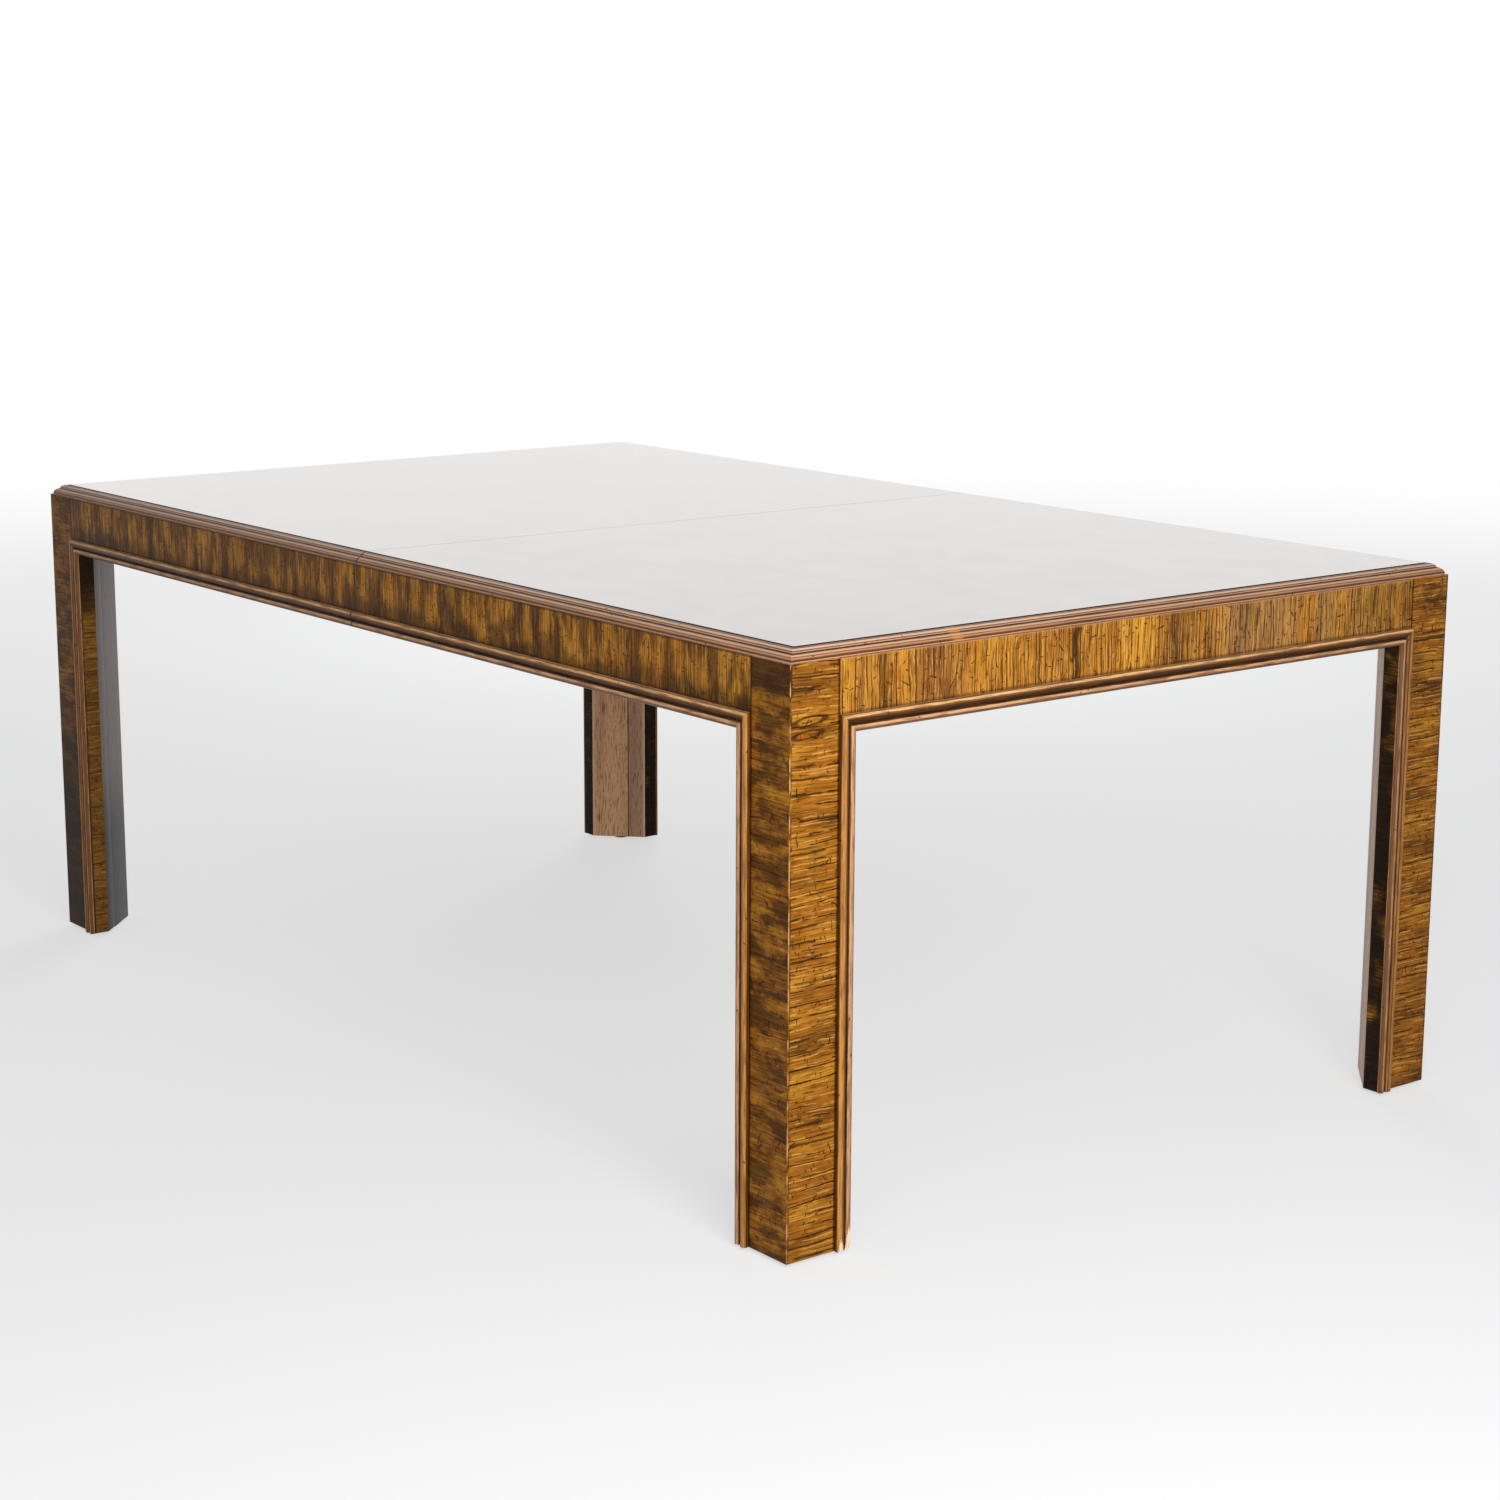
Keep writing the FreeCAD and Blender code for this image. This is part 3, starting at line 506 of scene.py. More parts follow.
def leg_veneer():
    finish, place = veneer_ground("leg_veneer", "AC6A1C", leg_patch_sizes)
    finish.paint(1.0, "5C3208", 0.27)
    end_gap, side_gap, farther, z = table_gaps(finish)
    x, y, _ = finish.parts(finish.table_place())
    on_side = on_face(finish, side_gap)
    at_right = finish.number("GREATER_THAN", x, 0.0)
    on_end = finish.product(on_face(finish, end_gap), at_right)
    draw_lines(finish, place, leg_lines, finish.fainter(on_side, leg_line_loss))
    # painted shade: the side faces are darker than the end faces
    finish.paint(on_side, "5A3410", 0.25)
    # painted shade: the long side faces are laid darker in clouds
    cloudy_side_shade(finish, place, on_side, *leg_side_shade)
    for measures in end_marks:
        finish.paint(finish.product(on_end, mark(finish, y, z, *measures)), "2C1505", 0.75)
    blotches = finish.level(finish.noise(place, blotch_sizes, detail=3.0), *blotch_step)
    cloud = mark(finish, y, z, *end_cloud, rim_only=False)
    finish.paint(finish.product(on_end, cloud, blotches), "3A200C", 0.65)
    glaze_and_knock(finish, place)
    at_left_front = on_left_front(finish, x, y)
    # painted shade: the left front leg's side face goes near black towards the floor
    finish.paint(finish.product(on_side, at_left_front, finish.level(z, *side_shade_heights)), "0E0602", 0.88)
    # painted shade on the left front leg's return, and the top's painted shadow above it
    inside = finish.level(end_gap, leg_width - inner_edge_fade[0], leg_width - inner_edge_fade[1])
    on_return = finish.product(inside, at_left_front)
    finish.paint(on_return, "4A3822", 0.50)
    finish.paint(finish.product(on_return, finish.level(z, *inner_edge_shadow_heights)), "140A04", 0.9)
    # painted shade in the corner beside the moulding
    by_moulding = finish.size_of(finish.number("SUBTRACT", farther, leg_face_width))
    finish.paint(finish.level(by_moulding, *shade_beside_moulding), "180A03", 0.85)
    finish.paint(finish.level(z, foot_dark_top, leg_foot), "3B2411", 0.35)
    ragged = finish.number("ADD", z, finish.drift(place, *top_band_edge))
    finish.paint(finish.product(on_side, at_right, finish.level(ragged, *top_band_step)), "2A1606", 0.8)
    worn_arris(finish, farther, finish.table_place())
    return finish.top_coat(**veneer_lacquer)


return_patch_sizes = (0.20, 0.055, 1.0)
# painted shade: the inner faces are laid nearly black in clouds
return_shade = ((0.05, 0.05, 1.0), 2.5, 0.5, ((0.86, 0.50, "0C0502", 0.97),))


def return_veneer():
    """The inner edges of the leg boards, laid nearly black as painted shade."""
    finish, place = veneer_ground("return_veneer", "8A5A20", return_patch_sizes)
    draw_lines(finish, place, leg_lines, 1.0)
    finish.cloud(place, *return_shade)
    glaze_and_knock(finish, place)
    return finish.top_coat(**veneer_lacquer)


broad_sizes = (0.30, 0.020, 1.0)
pore_sizes = (0.009, 0.0008, 1.0)
pore_step = (0.60, 0.72)
pore_depth = 0.00006


def board(name, ground, dark, sizes, broad_share=0.55):
    """Plain stained hardwood with open grain, on its own grain map."""
    finish = Finish(name, ground)
    place = finish.grain_map()
    finish.cloud(place, broad_sizes, 2.0, 0.5, ((0.46, 0.70, dark, broad_share),))
    finish.cloud(place, sizes, 3.0, 0.6, ((0.50, 0.68, dark, 0.85),))
    pores = finish.cloud(place, pore_sizes, 1.0, 0.5, ((*pore_step, "2A170B", 0.6),))
    finish.press(finish.level(pores, *pore_step), pore_depth)
    return finish


glue_line = leg_width / 2
glue_line_fade = 0.0004
glue_line_dark = (0.0012, 0.0005)
leg_fibre_sizes = (0.026, 0.0026, 1.0)
pale_arris = (0.0035, 0.0020)
board_foot_shade = (0.30, 0.16)


def leg_board_finish():
    """Bare board under polish: tan, greyer on the outer board, and on the left front leg a painted grey-blue
    reflection with painted shade near black towards the floor.
    """
    finish = board("leg_board", "ECB486", "6E4226", leg_fibre_sizes, 0.3)
    _, side_gap, farther, z = table_gaps(finish)
    x, y, _ = finish.parts(finish.table_place())
    outer = finish.level(side_gap, glue_line + glue_line_fade, glue_line - glue_line_fade)
    finish.paint(outer, "6E5A50", 0.45)
    off_joint = finish.size_of(finish.number("SUBTRACT", side_gap, glue_line))
    finish.paint(finish.level(off_joint, *glue_line_dark), "2A1A10", 0.7)
    finish.paint(finish.level(farther, leg_width - pale_arris[0], leg_width - pale_arris[1]), "F0D2B4", 0.6)
    at_left_front = on_left_front(finish, x, y)
    # painted reflection: a grey-blue sheen on the left front leg's cut corner
    finish.paint(at_left_front, "50525A", 0.85)
    # painted shade: near black towards the floor
    finish.paint(finish.product(at_left_front, finish.level(z, *board_foot_shade)), "080402", 0.92)
    return finish.top_coat(0.40, 0.15, 0.25, clarity=0.15)


leg_finishes = [leg_veneer(), leg_board_finish(), return_veneer()]
# how much of a normal lies along a direction where the face looks that way, and where it only leans
facing = 0.5
leaning = 0.3


def leg_grain(normal):
    """Level on the square faces, and upright on the cut corner."""
    if abs(normal.z) > facing:
        return Vector((1, 0, 0))
    if abs(abs(normal.x) - abs(normal.y)) < facing:
        return Vector((0, 0, 1))
    if abs(normal.x) > abs(normal.y):
        return Vector((0, 1, 0))
    return Vector((1, 0, 0))


def leg_finish(row):
    """Veneer outside, bare board on the cut corner and underneath, and veneer with painted shade, nearly
    black, on most returns.
    """
    def finish_of(normal):
        if abs(normal.z) > leaning or abs(abs(normal.x) - abs(normal.y)) < facing:
            return 1
        if normal.y > facing or (row == "back" and normal.x > facing):
            return 2
        return 0

    return finish_of


def leg_board(outline, worn_uprights):
    """One of a leg's two boards, in corner measures, with the edges at some corners eased."""
    points = [(u, v, leg_foot) for u, v in outline]
    solid = block(points, (0, 0, carcass_top - leg_foot))
    for (u, v), width in worn_uprights:
        ease(solid, width, lambda co: near(co.x, u) and near(co.y, v))
    ease(solid, arris_ease, lambda co: co.z < leg_foot + touching)
    return mesh_from(solid, "leg_board")


overcut = 0.002


def lap(u_low, u_high, v_low, v_high):
    """What a leg board loses above its shoulder, where an apron laps over it."""
    outline = [(u_low, v_low), (u_high, v_low), (u_high, v_high), (u_low, v_high)]
    points = [(u, v, shoulder) for u, v in outline]
    return mesh_from(block(points, (0, 0, carcass_top - shoulder + overcut)), "lap")


cut_at_glue_line = board_thickness + leg_width - glue_line
outer_board = carve(
    leg_board([(0, 0), (leg_width, 0), (leg_width, board_thickness), (cut_at_glue_line, glue_line),
               (0, glue_line)],
              [((0, 0), arris_ease), ((leg_width, board_thickness), arris_ease),
               ((cut_at_glue_line, glue_line), glue_line_ease)]),
    [lap(leg_face_width, leg_width + overcut, -overcut, board_thickness)])
inner_board = carve(
    leg_board([(0, glue_line), (cut_at_glue_line, glue_line), (board_thickness, leg_width),
               (0, leg_width)],
              [((board_thickness, leg_width), arris_ease),
               ((cut_at_glue_line, glue_line), glue_line_ease)]),
    [lap(-overcut, board_thickness, leg_face_width, leg_width + overcut)])


def joined(meshes, name):
    whole = bmesh.new()
    for mesh in meshes:
        whole.from_mesh(mesh)
    return mesh_from(whole, name)


leg_seed = 11
for index, (half, row) in enumerate(corners):
    node = half + "_" + row + "_leg"
    mesh = joined([outer_board, inner_board], node)
    lay_grain(mesh, leg_grain, leg_finish(row), random.Random(index + leg_seed))
    set_up(mesh, corner_matrix(half, row))
    stand_in(node, mesh, leg_finishes)


# Aprons
# Boards between the legs, lapped over the legs' shoulders; the two on each long side meet at the
# seam. Their outer faces carry veneer with its grain upright, so the figure reads as stripes.

seam_face = 0.0002
apron_bottom = shoulder - bead_band_width
joint_ease = 0.0003

# leaves of the end apron's veneer that differ in tone: middle, half width, colour and strength
end_leaves = ((-0.355, 0.040, "7C4E2C", 0.50), (-0.127, 0.006, "2B1A0B", 0.80),
              (-0.020, 0.030, "EEA838", 0.60), (0.055, 0.030, "5E3C1A", 0.55), (0.200, 0.075, "A8825A", 0.45),
              (0.330, 0.022, "B48C52", 0.50), (0.420, 0.050, "7E6434", 0.45))
leaf_edge = ((0.05, 0.006, 1.0), 0.024)
leaf_edge_shares = (1.25, 0.75)
# sets of thin upright lines in the aprons' veneer, as for the legs
apron_lines = ((0.0092, 0.0012, 0.050, 0.40, "2E1605", 0.80), (0.0047, 0.0008, 0.030, 0.46, "3E2008", 0.65),
               (0.0068, 0.0009, 0.040, 0.48, "E4AC60", 0.45))
apron_patch_sizes = (0.30, 0.030, 1.0)
apron_line_loss = 0.25
apron_side_shade = ((0.080, 0.022, 1.0), 0.62)
# darker on the long sides, from a cloudy edge down to the moulding: sizes, rise and drop
low_darkening_sizes = (0.05, 0.045, 1.0)
low_darkening_rise = 0.075
low_darkening_drop = (0.008, 0.034)
# where lines start and are full: painted shade over the moulding, painted shade under the top on the long
# sides with pale wear on the ends, glaze at the seam, painted shadow beside it on the right half, and glaze
# at the legs
shade_over_moulding = (0.005, 0.0010)
under_top_shade_and_wear = (0.0030, 0.0012)
seam_dark = (0.0032, 0.0016)
seam_shadow_reach = (0.014, 0.006)
leg_joint_dark = (0.0012, 0.0004)


def end_apron_leaves(finish, place):
    end_gap, _, _, _ = table_gaps(finish)
    _, y, _ = finish.parts(finish.table_place())
    leaf_place = finish.number("ADD", y, finish.drift(place, *leaf_edge))
    on_end = on_face(finish, end_gap)
    shares = []
    for middle, reach, colour, strength in end_leaves:
        off_leaf = finish.size_of(finish.number("SUBTRACT", leaf_place, middle))
        none_at, full_at = [reach * share for share in leaf_edge_shares]
        shares.append((finish.product(on_end, finish.level(off_leaf, none_at, full_at)), colour, strength))
    return shares


def apron_veneer():
    finish, place = veneer_ground("apron_veneer", "B47428", apron_patch_sizes, end_apron_leaves)
    end_gap, side_gap, farther, z = table_gaps(finish)
    x, _, _ = finish.parts(finish.table_place())
    on_end = on_face(finish, end_gap)
    on_side = on_face(finish, side_gap)
    draw_lines(finish, place, apron_lines, finish.fainter(on_side, apron_line_loss))
    # painted shade: the long side faces are laid darker in clouds
    cloudy_side_shade(finish, place, on_side, *apron_side_shade)
    glaze_and_knock(finish, place)
    # darker towards the bottom on the long sides
    cloudy_edge = finish.number("MULTIPLY", finish.noise(place, low_darkening_sizes, detail=2.5), low_darkening_rise)
    low = finish.level(finish.number("SUBTRACT", z, cloudy_edge),
                       shoulder - low_darkening_drop[0], shoulder - low_darkening_drop[1])
    finish.paint(finish.product(low, on_side), "281606", 0.68)
    # painted shade in the corner over the moulding
    finish.paint(finish.level(z, shoulder + shade_over_moulding[0], shoulder + shade_over_moulding[1]), "2A170A", 0.55)
    # painted shade under the top on the long sides, and pale wear there on the ends
    by_top = finish.level(z, carcass_top - under_top_shade_and_wear[0], carcass_top - under_top_shade_and_wear[1])
    finish.paint(finish.product(by_top, on_side), "2A1606", 0.7)
    finish.paint(finish.product(by_top, on_end), "C08A5A", 0.5)
    # painted shadow beside the seam on the right half of the long sides
    seam_shadow = finish.product(finish.level(x, *seam_shadow_reach), finish.number("GREATER_THAN", x, 0.0))
    finish.paint(finish.product(seam_shadow, on_side), "26140A", 0.55)
    finish.paint(finish.level(finish.size_of(x), *seam_dark), "160B05", 0.92)
    at_legs = finish.level(farther, leg_face_width + leg_joint_dark[0], leg_face_width + leg_joint_dark[1])
    finish.paint(at_legs, "2A160A", 0.5)
    return finish.top_coat(**veneer_lacquer)


apron_fibre_sizes = (0.09, 0.003, 1.0)
apron_board = board("apron_board", "7A5636", "4A3020", apron_fibre_sizes).top_coat(0.5, 0.2, 0.3)
apron_finishes = [apron_veneer(), apron_board]


def side_apron():
    """In corner measures: from the seam to the lap over the leg."""
    seam = half_length - seam_face
    outline = [(seam, apron_bottom), (leg_width, apron_bottom), (leg_width, shoulder),
               (leg_face_width, shoulder), (leg_face_width, carcass_top), (seam, carcass_top)]
    solid = block([(u, 0, z) for u, z in outline], (0, board_thickness, 0))
    ease(solid, joint_ease, lambda co: near(co.y, 0) and near(co.x, leg_face_width))
    ease(solid, 2 * joint_ease, lambda co: near(co.y, 0) and near(co.x, seam))
    return mesh_from(solid, "side_apron")


def end_apron():
    """From one leg to the other, in the measures of the end's own corner."""
    far_face = table_width - leg_face_width
    far_low = table_width - leg_width
    outline = [(leg_width, apron_bottom), (far_low, apron_bottom), (far_low, shoulder),
               (far_face, shoulder), (far_face, carcass_top), (leg_face_width, carcass_top),
               (leg_face_width, shoulder), (leg_width, shoulder)]
    solid = block([(0, v, z) for v, z in outline], (board_thickness, 0, 0))
    ease(solid, joint_ease,
         lambda co: near(co.x, 0) and (near(co.y, leg_face_width) or near(co.y, far_face)))
    return mesh_from(solid, "end_apron")


def apron_grain_and_finish(outward):
    """Upright veneer on the outer face, and board along its length everywhere else."""
    def grain_of(normal):
        if normal.dot(outward) > facing:
            return Vector((0, 0, 1))
        if abs(normal.dot(outward)) > facing or abs(normal.z) > facing:
            return outward.cross(Vector((0, 0, 1)))
        return Vector((0, 0, 1))

    def finish_of(normal):
        return 0 if normal.dot(outward) > facing else 1

    return grain_of, finish_of


side_apron_seed = 31
for index, (half, row) in enumerate(corners):
    node = half + "_" + row + "_apron"
    mesh = side_apron()
    lay_grain(mesh, *apron_grain_and_finish(Vector((0, -1, 0))), random.Random(index + side_apron_seed))
    stand_in(node, set_up(mesh, corner_matrix(half, row)), apron_finishes)

end_apron_seed = 41
for index, half in enumerate(half_signs):
    node = half + "_end_apron"
    mesh = end_apron()
    lay_grain(mesh, *apron_grain_and_finish(Vector((-1, 0, 0))), random.Random(index + end_apron_seed))
    stand_in(node, set_up(mesh, corner_matrix(half, "front")), apron_finishes)


# Frame mouldings
# A strip of hardwood with a wide bead, a quirk and a narrow bead is planted round each opening and
# mitred at its upper corners. Its hollows hold dark glaze with painted shade, and its crests are tan
# with painted highlights; its wall is painted lit on the heads and shaded on the uprights.

bead_wall_height = 0.0056
wide_bead_width = 0.0116
wide_bead_edge_height = 0.0026
wide_bead_bulge_share = 0.24
quirk_width = 0.0008
quirk_height = 0.0016
narrow_bead_edge_height = 0.0014
narrow_bead_bulge_share = 0.44
moulding_ease = 0.0004
flat_corner_angle = math.radians(155)
corner_cut_share = 0.45
weld_distance = 1e-6


def bowed(start, end, bulge_share, steps=9):
    """The points of an arc from start to end that stands out of its chord to the left of the way."""
    start = Vector(start)
    end = Vector(end)
    chord = end - start
    rise = bulge_share * chord.length
    radius = (chord.length ** 2 / 4 + rise ** 2) / (2 * rise)
    normal = Vector((-chord.y, chord.x)).normalized()
    centre = (start + end) / 2 + normal * (rise - radius)
    spoke = start - centre
    turn = -2 * math.asin(chord.length / (2 * radius))
    if rise > radius:
        turn = -(math.tau + turn)
    points = []
    for step in range(steps + 1):
        angle = turn * step / steps
        points.append(centre + Vector((
            spoke.x * math.cos(angle) - spoke.y * math.sin(angle),
            spoke.x * math.sin(angle) + spoke.y * math.cos(angle),
        )))
    return [tuple(point) for point in points]


def eased_outline(points, width):
    """A closed outline whose sharp corners are taken off by a small curve."""
    eased = []
    count = len(points)
    for index in range(count):
        before = Vector(points[index - 1])
        corner = Vector(points[index])
        after = Vector(points[(index + 1) % count])
        back = before - corner
        ahead = after - corner
        if back.angle(ahead) > flat_corner_angle:
            eased.append(tuple(corner))
            continue
        cut = min(width, back.length * corner_cut_share, ahead.length * corner_cut_share)
        first = corner + back.normalized() * cut
        last = corner + ahead.normalized() * cut
        eased += [tuple(first), tuple(corner / 2 + (first + last) / 4), tuple(last)]
    return eased


def section_mesh(outline, name):
    """The section as one face across the run, with each corner's distance round it."""
    mesh = bpy.data.meshes.new(name)
    mesh.from_pydata([(0, across, out) for across, out in outline], [], [tuple(range(len(outline)))])
    girth = mesh.attributes.new("girth", "FLOAT", "POINT")
    travelled = 0.0
    for index, point in enumerate(outline):
        if index:
            travelled += (Vector(point) - Vector(outline[index - 1])).length
        girth.data[index].value = travelled
    return mesh


def moulding_run_tree():
    """A tree that runs a section along X, mitres both ends and gives the faces their grain map."""
    tree = bpy.data.node_groups.new("moulding_run", "GeometryNodeTree")
    face = tree.interface
    face.new_socket("Section", in_out="INPUT", socket_type="NodeSocketGeometry")
    for name in ("Length", "Start Mitre", "End Mitre", "Grain Start"):
        face.new_socket(name, in_out="INPUT", socket_type="NodeSocketFloat")
    face.new_socket("Finish", in_out="INPUT", socket_type="NodeSocketMaterial")
    face.new_socket("Moulding", in_out="OUTPUT", socket_type="NodeSocketGeometry")
    start = tree.nodes.new("NodeGroupInput").outputs

    def calculate(operation, first, second):
        return add_node(tree, "ShaderNodeMath", {0: first, 1: second}, operation=operation).outputs[0]

    def vector(x, y=0.0):
        return add_node(tree, "ShaderNodeCombineXYZ", {"X": x, "Y": y}).outputs["Vector"]

    def shape(kind, inputs, **settings):
        return add_node(tree, kind, inputs, **settings).outputs[0]

    run = shape("GeometryNodeExtrudeMesh", {"Mesh": start["Section"], "Offset": vector(start["Length"]),
                                            "Individual": False})
    first_end = shape("GeometryNodeFlipFaces", {"Mesh": start["Section"]})
    join = tree.nodes.new("GeometryNodeJoinGeometry")
    for part in (run, first_end):
        tree.links.new(part, join.inputs[0])
    closed = shape("GeometryNodeMergeByDistance", {"Geometry": join.outputs[0], "Distance": weld_distance})

    position = add_node(tree, "GeometryNodeInputPosition", {}).outputs[0]
    place = add_node(tree, "ShaderNodeSeparateXYZ", {0: position}).outputs
    share = calculate("DIVIDE", place["X"], start["Length"])
    rest = calculate("SUBTRACT", 1.0, share)
    at_start = calculate("MULTIPLY", calculate("MULTIPLY", start["Start Mitre"], rest), place["Y"])
    at_end = calculate("MULTIPLY", calculate("MULTIPLY", start["End Mitre"], share), place["Y"])
    slide = vector(calculate("SUBTRACT", at_start, at_end))
    mitred = shape("GeometryNodeSetPosition", {"Geometry": closed, "Offset": slide})

    girth = add_node(tree, "GeometryNodeInputNamedAttribute", {"Name": "girth"}, data_type="FLOAT")
    grain = vector(calculate("ADD", place["X"], start["Grain Start"]), girth.outputs["Attribute"])
    mapped = shape("GeometryNodeStoreNamedAttribute", {"Geometry": mitred, "Name": "grain", "Value": grain},
                   data_type="FLOAT2", domain="CORNER")
    whole = shape("GeometryNodeRealizeInstances", {"Geometry": mapped})
    finished = shape("GeometryNodeSetMaterial", {"Geometry": whole, "Material": start["Finish"]})
    add_node(tree, "NodeGroupOutput", {"Moulding": finished})
    return tree


moulding_run = moulding_run_tree()


def grown(tree, seed_mesh, settings):
    """The plain mesh that a tree of steps grows from a seed mesh with these named settings."""
    seed = bpy.data.objects.new("seed", seed_mesh)
    scene.collection.objects.link(seed)
    step = seed.modifiers.new("grow", "NODES")
    step.node_group = tree
    for socket in tree.interface.items_tree:
        if socket.item_type == "SOCKET" and socket.in_out == "INPUT" and socket.name in settings:
            step[socket.identifier] = settings[socket.name]
    depsgraph = bpy.context.evaluated_depsgraph_get()
    result = bpy.data.meshes.new_from_object(seed.evaluated_get(depsgraph))
    bpy.data.objects.remove(seed)
    return result


def axes_matrix(start, along, across, out):
    """From measures along three axes of their own to those that the start and the axes are given in."""
    columns = [Vector(along), Vector(across), Vector(out)]
    return Matrix([[column[axis] for column in columns] + [start[axis]] for axis in range(3)]
                  + [[0, 0, 0, 1]])


narrow_bead_start = wide_bead_width + quirk_width
bead_outline = [(0, 0), (0, bead_wall_height)]
bead_outline += bowed((0, bead_wall_height), (wide_bead_width, wide_bead_edge_height),
                      wide_bead_bulge_share)[1:]
bead_outline += [(wide_bead_width, quirk_height), (narrow_bead_start, quirk_height)]
bead_outline += bowed((narrow_bead_start, wide_bead_edge_height), (bead_band_width, narrow_bead_edge_height),
                      narrow_bead_bulge_share)
bead_outline += [(bead_band_width, 0)]
bead_section = section_mesh(eased_outline(bead_outline, moulding_ease), "bead_section")

bead_girths = [value.value for value in bead_section.attributes["girth"].data]
bead_crossings = [vertex.co.y for vertex in bead_section.vertices]


def girth_at(measure, girths, measures):
    """How far round the section lies the first point with this measure, across it or out of it."""
    for index in range(1, len(measures)):
        low, high = measures[index - 1], measures[index]
        if high > measure >= low:
            share = (measure - low) / (high - low)
            return girths[index - 1] + share * (girths[index] - girths[index - 1])
    return girths[-1]


band_fade = 0.0004
strip_streak_sizes = (0.120, 0.0024, 1.0)
strip_stretch_sizes = (0.12, 0.05, 1.0)
seam_glaze = (0.0026, 0.0012)


def glaze_and_light_band(finish, girth, start, end, code, strength):
    """A band of colour along the moulding, between two distances round its section."""
    rising = finish.level(girth, start - band_fade, start + band_fade)
    falling = finish.level(girth, end + band_fade, end - band_fade)
    finish.paint(finish.product(rising, falling), code, strength)


def moulding_ground(name, ground, dark, light):
    """Long-grained hardwood strip: fine streaks along the run, and worn or darkened stretches."""
    finish = Finish(name, ground)
    place = finish.grain_map()
    finish.cloud(place, strip_streak_sizes, 2.5, 0.55, ((0.50, 0.66, dark, 0.65), (0.47, 0.32, light, 0.45)))
    finish.cloud(place, strip_stretch_sizes, 2.0, 0.5, ((0.55, 0.72, dark, 0.35),))
    return finish, place


def glaze_at_seam(finish):
    """Dark glaze that has run into the joint between the two halves."""
    x, _, _ = finish.parts(finish.table_place())
    finish.paint(finish.level(finish.size_of(x), *seam_glaze), "160B05", 0.88)


# how far the bands' edges wander, where the narrow bead's tan sets in, and how much of the wall carries its
# painted light
bead_wander = ((0.020, 0.004, 1.0), 0.0014)
narrow_bead_lip = 0.0003
narrow_bead_tan = (0.0008, 0.0018)
wall_shares = (0.90, 0.70)
# layers over the bands: sizes, detail, roughness and tone; and the knocks
stretch_shift = 2.3
stretch_layer = ((0.045, 0.005, 1.0), 3.0, 0.5, ((0.48, 0.62, "6E4018", 0.55),))
fibre_layer = ((0.050, 0.0011, 1.0), 2.0, 0.5, ((0.51, 0.66, "3C1E08", 0.60),))
bead_knocks = {"spacing": 0.030, "length": 0.0045, "thickness": 0.0010, "share": 0.5, "curl": 0.6}


def frame_moulding_wood(name, bands, wall_painted_light):
    """Painted highlight on the crest of the wide bead, glaze and painted shade near black from there to the
    quirk, tan on the narrow bead, and painted light on the wall.
    """
    finish, place = moulding_ground(name, "B47A3A", "5A3212", "DCA260")
    _, girth, _ = finish.parts(place)
    girth = finish.number("ADD", girth, finish.drift(place, *bead_wander))
    narrow_start = girth_at(narrow_bead_start + narrow_bead_lip, bead_girths, bead_crossings)
    none_at, full_at = [narrow_start + off for off in narrow_bead_tan]
    finish.paint(finish.level(girth, none_at, full_at), "C49468", 0.85)
    # painted light on the wall: a pale painted highlight on the heads' upward wall, painted shade on the
    # uprights' side wall
    none_at, full_at = [bead_wall_height * share for share in wall_shares]
    finish.paint(finish.level(girth, none_at, full_at), wall_painted_light, 0.9)
    # glaze in the hollows, painted highlights on the crests and painted shade under the beads
    for start, end, code, strength in bands:
        glaze_and_light_band(finish, girth, girth_at(start, bead_girths, bead_crossings),
                   girth_at(end, bead_girths, bead_crossings), code, strength)
    finish.cloud(finish.moved(place, x=stretch_shift), *stretch_layer)
    finish.cloud(place, *fibre_layer)
    finish.paint(finish.knocks(place, **bead_knocks), "1F0F06", 0.85)
    glaze_at_seam(finish)
    return finish.top_coat(0.38, 0.03, 0.16, clarity=0.15)


# bands of the finish, by the distance across the moulding: start, end, colour and strength; the pale ones are
# painted highlights on the crests, the near-black ones glaze in the quirk with painted shade under the beads
head_glaze_and_light = ((0.0001, 0.0010, "5A3214", 0.7), (0.0012, 0.0038, "EEC08A", 0.75),
              (0.0042, 0.0066, "6E4218", 0.75), (0.0062, 0.0142, "240E02", 0.93),
              (0.0106, 0.0116, "6A4426", 0.6), (0.0147, 0.0170, "D8AA80", 0.7),
              (0.0178, 0.0220, "6C4428", 0.85))
upright_glaze_and_light = ((0.0008, 0.0060, "C28A46", 0.6), (0.0065, 0.0083, "5A2C0A", 0.85),
                 (0.0086, 0.0100, "82532E", 0.5), (0.0101, 0.0137, "200C02", 0.93),
                 (0.0142, 0.0180, "BE9068", 0.6), (0.0188, 0.0220, "5E3A20", 0.85))
# the heads are the lit copy and the uprights the shaded copy of one moulding finish
lit_head_finish = frame_moulding_wood("head_moulding_lit_wood", head_glaze_and_light, "D0A274")
shaded_upright_finish = frame_moulding_wood("upright_moulding_shaded_wood", upright_glaze_and_light, "321806")


def moulding(section, length, mitres, matrix, finish, chance):
    settings = {"Length": length, "Start Mitre": float(mitres[0]), "End Mitre": float(mitres[1]),
                "Grain Start": chance.uniform(0, wood_reach), "Finish": finish}
    mesh = grown(moulding_run, section, settings)
    mesh.materials.clear()
    mesh.materials.append(finish)
    return set_up(mesh, matrix)


broad_fibre_ratio = 6
bare_fibre_step = (0.50, 0.70)
bare_fibre_depth = 0.00005


